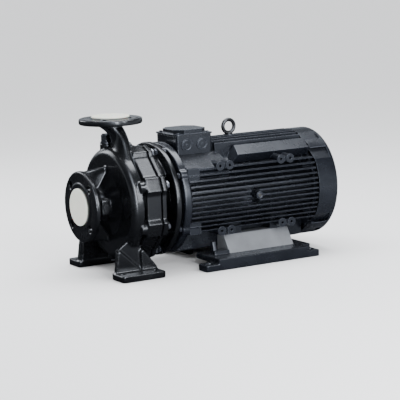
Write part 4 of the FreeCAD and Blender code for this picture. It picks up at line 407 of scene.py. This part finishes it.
finishes.update({
    "cap_plastic": moulded("cap_polyethylene", (0.64, 0.645, 0.575), 0.42, glow=0.15),
    "black_plastic": moulded("moulded_black", (0.024, 0.025, 0.028), 0.5),
    "rubber": moulded("seal_rubber", (0.02, 0.02, 0.02), 0.7, depth=0.0003),
    "seal_ceramic": moulded("lapped_ceramic", (0.7, 0.68, 0.62), 0.22, depth=0.00003),
})
dark_zinc = metal("dark_zinc", (0.2, 0.21, 0.235), 0.25)
SPECIAL = {"priming_plug": dark_zinc, "gauge_plug": finishes["casing_paint"],
           "cable_entry_plugs": finishes["motor_paint"]}
for node_name, piece in frame["nodes"].items():
    piece.data.materials.clear()
    piece.data.materials.append(SPECIAL.get(node_name, finishes[slot_of[node_name]]))
print("every engineering piece has its finish")

# %% [markdown]
# ## Cast pieces with soft corners
# A sand casting has no sharp inner corner: metal fills each one with a small radius. The engineering solids keep
# their corners crisp, and a Bevel modifier fails on their triangles. Remeshing a merged copy into even voxels and
# relaxing it a few steps gives every corner its fillet at once, the way the foundry does.

# %% Merged copies
MERGE_WITHIN = 1e-6


def merged_copy(node_name, piece_name):
    """New object with the node's mesh, its loose triangles merged."""
    mesh = frame["nodes"][node_name].data.copy()
    shell = bmesh.new()
    shell.from_mesh(mesh)
    bmesh.ops.remove_doubles(shell, verts=shell.verts, dist=MERGE_WITHIN)
    shell.to_mesh(mesh)
    shell.free()
    piece = bpy.data.objects.new(piece_name, mesh)
    bpy.context.scene.collection.objects.link(piece)
    return piece


def settle(piece):
    """Applies the piece's modifiers by taking the evaluated mesh."""
    bpy.context.view_layer.update()
    depsgraph = bpy.context.evaluated_depsgraph_get()
    mesh = bpy.data.meshes.new_from_object(piece.evaluated_get(depsgraph))
    piece.modifiers.clear()
    piece.data = mesh
    return piece


# %% [markdown]
# ## The band that joins the lugs
# Behind its rim the casing carries eight lugs for the bolts. The foundry doesn't leave them as single posts: between
# them the metal runs on as flat panels, and each lug is a raised flat pad, so the band looks eight-sided. The
# adapter's flange repeats it. The outline is typed for one lug only and turned eight times, and the band is added
# before the remeshing below, which then melts it into the casting with a fillet.

# %% Outline and band
LUG_COUNT = 8
LUG_STEP = 2 * math.pi / LUG_COUNT
SHAFT_Z = 0.18
PAD_OUTLINE = ((-0.026, 0.1435), (-0.018, 0.1546), (0.018, 0.1546), (0.026, 0.1435))
BAND_BORE_SHARE = 0.85
BANDS = {"volute_casing": (0.0215, 0.0645), "motor_adapter": (0.0665, 0.0795)}


def lug_outline():
    """Eight-sided outline round the shaft, with a raised flat pad at each lug."""
    outline = []
    for lug in range(LUG_COUNT):
        turn = LUG_STEP * (lug + 0.5)
        for across, out in PAD_OUTLINE:
            outline.append((out * math.sin(turn) + across * math.cos(turn),
                            out * math.cos(turn) - across * math.sin(turn)))
    return outline


def add_band(mesh, start, end, outline, bore_share=BAND_BORE_SHARE):
    """Joins a band of that outline round the shaft to the mesh, from start to end along the shaft."""
    shell = bmesh.new()
    shell.from_mesh(mesh)
    rings = [[shell.verts.new((x, y * share, SHAFT_Z + z * share)) for y, z in outline]
             for x, share in ((start, 1), (end, 1), (end, bore_share), (start, bore_share))]
    for ring, following in zip(rings, rings[1:] + rings[:1]):
        for k in range(len(outline)):
            shell.faces.new((ring[k - 1], ring[k], following[k], following[k - 1]))
    shell.to_mesh(mesh)
    shell.free()


print("band outline of", len(lug_outline()), "points")

# %% Castings
def cast_copy(node_name, voxel, relax, keep):
    """Cast look of a node: voxels, a few relaxing steps, then fewer faces where it is flat."""
    piece = merged_copy(node_name, node_name + "_casting")
    if node_name in BANDS:
        add_band(piece.data, *BANDS[node_name], lug_outline())
    remesh = piece.modifiers.new("voxels", "REMESH")
    remesh.mode, remesh.voxel_size, remesh.use_smooth_shade = "VOXEL", voxel, True
    smooth = piece.modifiers.new("relax", "SMOOTH")
    smooth.iterations = relax
    thin = piece.modifiers.new("thin", "DECIMATE")
    thin.ratio = keep
    settle(piece)
    piece.data.shade_smooth()
    piece.data.materials.clear()
    piece.data.materials.append(finishes[slot_of[node_name]])
    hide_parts(node_name)
    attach(piece, "pump")
    print(node_name, "cast with", len(piece.data.polygons), "faces")
    return piece


CASTINGS = {
    "volute_casing": (0.0021, 5, 0.7),
    "motor_adapter": (0.0017, 4, 0.7),
    "drive_end_shield": (0.0018, 4, 0.6),
    "near_motor_foot": (0.0015, 3, 0.6),
    "far_motor_foot": (0.0015, 3, 0.6),
    "near_support_rail": (0.0016, 3, 0.6),
    "far_support_rail": (0.0016, 3, 0.6),
}
for node_name, (voxel, relax, keep) in CASTINGS.items():
    cast_copy(node_name, voxel, relax, keep)

# %% [markdown]
# ## The fan's wide plate
# The fan's blades stand on a plate that nearly fills the cowl, so that air can only enter through the rear grille. It
# also keeps daylight from showing through the gap in front of the cowl. The plate is a plain round band, so the same
# function adds it, and the piece rides on the rotor because it turns with the shaft.

# %% Fan plate
PLATE_START, PLATE_END, PLATE_R, PLATE_SIDES, PLATE_BORE_SHARE = 0.5684, 0.5708, 0.131, 72, 0.8

fan = merged_copy("cooling_fan", "fan_with_wide_plate")
plate_outline = [point[:2] for point in ring_of(PLATE_SIDES, PLATE_R, 0)]
add_band(fan.data, PLATE_START, PLATE_END, plate_outline, PLATE_BORE_SHARE)
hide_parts("cooling_fan")
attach(fan, "rotor")
print("fan has", len(fan.data.polygons), "faces")

# %% [markdown]
# ## Bolts measured from the solids
# Each engineering bolt is a plain hexagon on a rod. A real one has a chamfered head, a washer face under it and a
# shank. Instead of typing places again, the next cell reads them back: it splits a node into its separate bolts,
# and each bolt's long axis, its head and its seat follow from its own points.

# %% Reading the bolts
def islands(mesh):
    """Points of each separate piece of a mesh, as arrays."""
    shell = bmesh.new()
    shell.from_mesh(mesh)
    bmesh.ops.remove_doubles(shell, verts=shell.verts, dist=MERGE_WITHIN)
    left, found = set(shell.verts), []
    while left:
        group, edge_of_group = set(), [left.pop()]
        while edge_of_group:
            vert = edge_of_group.pop()
            group.add(vert)
            near = [edge.other_vert(vert) for edge in vert.link_edges]
            fresh = [v for v in near if v in left]
            left.difference_update(fresh)
            edge_of_group.extend(fresh)
        found.append(np.array([v.co[:] for v in group]))
    shell.free()
    return found


def measure_bolt(points):
    """Seat, outward direction and sizes of one bolt."""
    centre = (points.min(0) + points.max(0)) / 2
    _, directions = np.linalg.eigh(np.cov((points - centre).T))
    axis = directions[:, -1]
    along = (points - centre) @ axis
    across = np.linalg.norm(points - centre - np.outer(along, axis), axis=1)
    corner = across.max()
    if along[across > corner * 0.9].mean() < 0:
        axis, along = -axis, -along
    seat = along[across > corner * 0.9].min()
    shank = across[across < corner * 0.75].max()
    return {"seat": centre + axis * seat, "facing": axis, "corner": corner, "head": along.max() - seat,
            "shank": shank, "long": seat - along.min()}


sample = measure_bolt(islands(frame["nodes"]["casing_bolts"].data)[0])
print("casing bolt:", {k: round(float(v) * 1000, 2) for k, v in sample.items() if k not in ("seat", "facing")})

# %% [markdown]
# ## One node tree for every bolt
# The bolts repeat, so they are made by Geometry Nodes: a six-sided prism, its top pushed up and drawn in for the
# chamfer, a round washer face and a shank, all instanced on the seats and turned to each one's direction. Copying a
# mesh in a loop would work as well, but the tree keeps one set of sizes that can be changed at any time.

# %% Geometry Nodes tree for hexagon bolts
BOLT_SIZES = {"Corner": 0.01, "Head": 0.007, "Chamfer": 0.0012, "Collar": 0.012, "Collar thick": 0.001,
              "Shank": 0.005, "Long": 0.03}
COLLAR_SIDES, SHANK_SIDES = 28, 18
TOP_SHARE = 0.84


def raised_cylinder(tree, sides, radius, depth, middle):
    """Cylinder node, and the node that lifts its middle to that height."""
    body = add(tree, "GeometryNodeMeshCylinder", {"Vertices": sides})
    height = add(tree, "ShaderNodeCombineXYZ")
    moved = add(tree, "GeometryNodeTransform")
    join(tree, (radius, body.inputs["Radius"]), (depth, body.inputs["Depth"]), (middle, height.inputs["Z"]),
         (height.outputs[0], moved.inputs["Translation"]))
    return body, moved


def turned_instances(tree, seats, shape):
    """Instances of the shape on the seats, turned along each seat's facing and made real."""
    facing = add(tree, "GeometryNodeInputNamedAttribute", {"Name": "facing"}, data_type="FLOAT_VECTOR")
    turned = add(tree, "FunctionNodeAlignRotationToVector", axis="Z")
    placed = add(tree, "GeometryNodeInstanceOnPoints")
    real = add(tree, "GeometryNodeRealizeInstances")
    join(tree, (facing.outputs["Attribute"], turned.inputs["Vector"]), (seats, placed.inputs["Points"]),
         (shape, placed.inputs["Instance"]), (turned.outputs["Rotation"], placed.inputs["Rotation"]),
         (placed.outputs["Instances"], real.inputs["Geometry"]))
    return real.outputs["Geometry"]


def bolt_tree():
    """Tree that puts a hexagon bolt on each point, along the point's facing."""
    tree = bpy.data.node_groups.new("hexagon_bolts", "GeometryNodeTree")
    tree.interface.new_socket("Seats", in_out="INPUT", socket_type="NodeSocketGeometry")
    for name, value in BOLT_SIZES.items():
        tree.interface.new_socket(name, in_out="INPUT", socket_type="NodeSocketFloat").default_value = value
    tree.interface.new_socket("Finish", in_out="INPUT", socket_type="NodeSocketMaterial")
    tree.interface.new_socket("Bolts", in_out="OUTPUT", socket_type="NodeSocketGeometry")
    given = add(tree, "NodeGroupInput").outputs
    result = add(tree, "NodeGroupOutput").inputs

    prism_high = calculated(tree, "SUBTRACT", given["Head"], given["Chamfer"])
    prism, prism_up = raised_cylinder(tree, 6, given["Corner"], prism_high,
                                      calculated(tree, "MULTIPLY", prism_high, 0.5))
    push = add(tree, "GeometryNodeExtrudeMesh")
    join(tree, (prism.outputs["Mesh"], push.inputs["Mesh"]), (prism.outputs["Top"], push.inputs["Selection"]),
         (given["Chamfer"], push.inputs["Offset Scale"]))
    draw_in = add(tree, "GeometryNodeScaleElements", {"Scale": TOP_SHARE})
    join(tree, (push.outputs["Mesh"], draw_in.inputs["Geometry"]), (push.outputs["Top"], draw_in.inputs["Selection"]),
         (draw_in.outputs["Geometry"], prism_up.inputs["Geometry"]))
    collar, collar_up = raised_cylinder(tree, COLLAR_SIDES, given["Collar"], given["Collar thick"],
                                        calculated(tree, "MULTIPLY", given["Collar thick"], 0.5))
    shank, shank_down = raised_cylinder(tree, SHANK_SIDES, given["Shank"], given["Long"],
                                        calculated(tree, "MULTIPLY", given["Long"], -0.5))
    join(tree, (collar.outputs["Mesh"], collar_up.inputs["Geometry"]),
         (shank.outputs["Mesh"], shank_down.inputs["Geometry"]))
    whole = add(tree, "GeometryNodeJoinGeometry")
    for part in (prism_up, collar_up, shank_down):
        join(tree, (part.outputs["Geometry"], whole.inputs["Geometry"]))
    coated = add(tree, "GeometryNodeSetMaterial")
    join(tree, (turned_instances(tree, given["Seats"], whole.outputs["Geometry"]), coated.inputs["Geometry"]),
         (given["Finish"], coated.inputs["Material"]), (coated.outputs["Geometry"], result["Bolts"]))
    return tree


bolts_tree = bolt_tree()
print("bolt tree has", len(bolts_tree.nodes), "nodes")

# %% [markdown]
# ## Bolts in their places
# Each family takes its sizes from its own solids. The casing bolts stand on loose washers, so their collar is the
# washer itself; on the others it is the thin washer face that is forged under the head. The motor was painted after
# assembly, so its screws are black, while the casing bolts went in later and keep their dark zinc.

# %% Making the bolt families
WASHER_THICK = 0.0025
WASHER_REACH = 0.0115
CHAMFER_SHARE = 0.18
WASHER_FACE_SHARE = 0.12


def points_with_facing(name, bolts, sink):
    """Mesh of bare points, one at each seat, with the outward direction as an attribute."""
    mesh = bpy.data.meshes.new(name)
    mesh.from_pydata([tuple(b["seat"] - b["facing"] * sink) for b in bolts], [], [])
    facing = mesh.attributes.new("facing", "FLOAT_VECTOR", "POINT")
    facing.data.foreach_set("vector", np.array([b["facing"] for b in bolts], np.float32).ravel())
    piece = bpy.data.objects.new(name, mesh)
    bpy.context.scene.collection.objects.link(piece)
    return piece


def give_values(modifier, tree, values):
    """Sets the tree's inputs on the modifier, by their names."""
    for socket in tree.interface.items_tree:
        if socket.in_out == "INPUT" and socket.name in values:
            modifier[socket.identifier] = values[socket.name]


def bolt_family(name, node_names, finish, washers=None):
    """All bolts of one size as one piece that stands for its nodes."""
    bolts = [measure_bolt(points) for node in node_names for points in islands(frame["nodes"][node].data)]
    sink = WASHER_THICK if washers else 0.0
    piece = points_with_facing(name, bolts, sink)
    modifier = piece.modifiers.new("bolts", "NODES")
    modifier.node_group = bolts_tree
    first = bolts[0]
    sizes = {"Corner": first["corner"], "Head": first["head"] + sink, "Chamfer": first["head"] * CHAMFER_SHARE,
             "Collar": WASHER_REACH if washers else first["corner"],
             "Collar thick": WASHER_THICK if washers else first["head"] * WASHER_FACE_SHARE,
             "Shank": first["shank"], "Long": first["long"] - sink}
    give_values(modifier, bolts_tree, {key: float(size) for key, size in sizes.items()} | {"Finish": finish})
    settle(piece)
    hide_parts(*node_names, *([washers] if washers else []))
    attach(piece, "pump")
    print(name, len(bolts), "bolts,", len(piece.data.polygons), "faces")
    return piece


motor_black = finishes["motor_paint"]
bolt_family("casing_fasteners", ["casing_bolts"], dark_zinc, "casing_washers")
bolt_family("adapter_fasteners", ["adapter_bolts"], motor_black)
bolt_family("foot_fasteners", ["foot_bolts"], dark_zinc)
bolt_family("front_shield_fasteners", ["shield_bolts_front"], motor_black)
bolt_family("rear_shield_fasteners", ["shield_bolts_rear"], motor_black)
bolt_family("cowl_fasteners", ["cowl_screws"], motor_black)
bolt_family("lid_fasteners", ["lid_screws"], motor_black)

# %% [markdown]
# ## Round covers and sockets
# The unused cable entries are closed by discs with a raised ring, and the boss in the middle of each side of the
# motor ends in a ring round a threaded hole. The hole is not cut: a small dark disc stands in for its painted shade.
# Both are small turned shapes, so both come from one tree: a disc, a ring swept round a circle and a small centre on
# each seat. The seats are read from the solids again.

# %% Geometry Nodes tree for round covers
ROUND_SIZES = {"Disc": 0.017, "Proud": 0.0008, "Ring": 0.0125, "Wire": 0.0011, "Centre": 0.003}
ROUND_SIDES, CENTRE_SIDES, WIRE_SIDES = 56, 24, 12
DISC_DEPTH_SHARE, CENTRE_DEPTH_SHARE = 2.0, 2.6


def round_tree():
    """Tree that puts a low disc with a ring and a small centre on each point."""
    tree = bpy.data.node_groups.new("round_covers", "GeometryNodeTree")
    tree.interface.new_socket("Seats", in_out="INPUT", socket_type="NodeSocketGeometry")
    for name, value in ROUND_SIZES.items():
        tree.interface.new_socket(name, in_out="INPUT", socket_type="NodeSocketFloat").default_value = value
    for name in ("Finish", "Centre finish and hole shade"):
        tree.interface.new_socket(name, in_out="INPUT", socket_type="NodeSocketMaterial")
    tree.interface.new_socket("Covers", in_out="OUTPUT", socket_type="NodeSocketGeometry")
    given = add(tree, "NodeGroupInput").outputs
    result = add(tree, "NodeGroupOutput").inputs
    disc = add(tree, "GeometryNodeMeshCylinder", {"Vertices": ROUND_SIDES})
    centre = add(tree, "GeometryNodeMeshCylinder", {"Vertices": CENTRE_SIDES})
    path = add(tree, "GeometryNodeCurvePrimitiveCircle", {"Resolution": ROUND_SIDES})
    wire = add(tree, "GeometryNodeCurvePrimitiveCircle", {"Resolution": WIRE_SIDES})
    ring = add(tree, "GeometryNodeCurveToMesh")
    lift = add(tree, "ShaderNodeCombineXYZ")
    lifted = add(tree, "GeometryNodeTransform")
    smooth = add(tree, "GeometryNodeSetShadeSmooth")
    join(tree, (given["Disc"], disc.inputs["Radius"]), (given["Centre"], centre.inputs["Radius"]),
         (calculated(tree, "MULTIPLY", given["Proud"], DISC_DEPTH_SHARE), disc.inputs["Depth"]),
         (calculated(tree, "MULTIPLY", given["Proud"], CENTRE_DEPTH_SHARE), centre.inputs["Depth"]),
         (given["Ring"], path.inputs["Radius"]), (given["Wire"], wire.inputs["Radius"]),
         (path.outputs["Curve"], ring.inputs["Curve"]), (wire.outputs["Curve"], ring.inputs["Profile Curve"]),
         (given["Proud"], lift.inputs["Z"]), (ring.outputs["Mesh"], smooth.inputs["Geometry"]),
         (smooth.outputs["Geometry"], lifted.inputs["Geometry"]), (lift.outputs[0], lifted.inputs["Translation"]))
    whole = add(tree, "GeometryNodeJoinGeometry")
    parts = (disc.outputs["Mesh"], lifted.outputs["Geometry"], centre.outputs["Mesh"])
    for part, finish in zip(parts, ("Finish", "Finish", "Centre finish and hole shade")):
        coat = add(tree, "GeometryNodeSetMaterial")
        join(tree, (part, coat.inputs["Geometry"]), (given[finish], coat.inputs["Material"]),
             (coat.outputs["Geometry"], whole.inputs["Geometry"]))
    join(tree, (turned_instances(tree, given["Seats"], whole.outputs["Geometry"]), result["Covers"]))
    return tree


covers_tree = round_tree()
print("cover tree has", len(covers_tree.nodes), "nodes")


# %% Covers on the cable entries
def round_covers(name, seats, sizes, finish, centre_finish_and_hole_shade):
    """Covers on the given seats, as one piece that rides on the pump."""
    piece = points_with_facing(name, seats, 0)
    modifier = piece.modifiers.new("covers", "NODES")
    modifier.node_group = covers_tree
    give_values(modifier, covers_tree, sizes | {"Finish": finish, "Centre finish and hole shade": centre_finish_and_hole_shade})
    settle(piece)
    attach(piece, "pump")
    print(name, len(seats), "covers,", len(piece.data.polygons), "faces")
    return piece


FACE_SLACK = 1e-4


def outer_seat(points):
    """Middle of a plug's outermost face, and the side it faces."""
    side = 1.0 if points[:, 1].mean() > 0 else -1.0
    reach = (points[:, 1] * side).max()
    face = points[points[:, 1] * side > reach - FACE_SLACK]
    return {"seat": (face.min(0) + face.max(0)) / 2, "facing": np.array([0, side, 0])}


plug_seats = [outer_seat(points) for points in islands(frame["nodes"]["cable_entry_plugs"].data)]
for seat in plug_seats:
    seat["seat"] = seat["seat"] - seat["facing"] * ROUND_SIZES["Proud"]
covers = round_covers("entry_covers", plug_seats, ROUND_SIZES, motor_black, motor_black)
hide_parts("cable_entry_plugs")

# %% Sockets in the side bosses
BOSS_X, BOSS_REACH = 0.358, 0.0105
SOCKET_SIZES = {"Disc": 0.0088, "Proud": 0.0003, "Ring": 0.0074, "Wire": 0.0011, "Centre": 0.0045}
frame_points = np.array([v.co[:] for v in frame["nodes"]["motor_frame"].data.vertices])
at_boss = np.linalg.norm(frame_points[:, ::2] - (BOSS_X, SHAFT_Z), axis=1) < BOSS_REACH
socket_seats = [{"seat": np.array([BOSS_X, side * (frame_points[at_boss, 1] * side).max(), SHAFT_Z]),
                 "facing": np.array([0, side, 0])} for side in (-1.0, 1.0)]
# The sockets' centre is a dark rubber-finished disc: painted shade where the threaded hole would be.
sockets = round_covers("boss_sockets_painted_holes", socket_seats, SOCKET_SIZES, motor_black, finishes["rubber"])
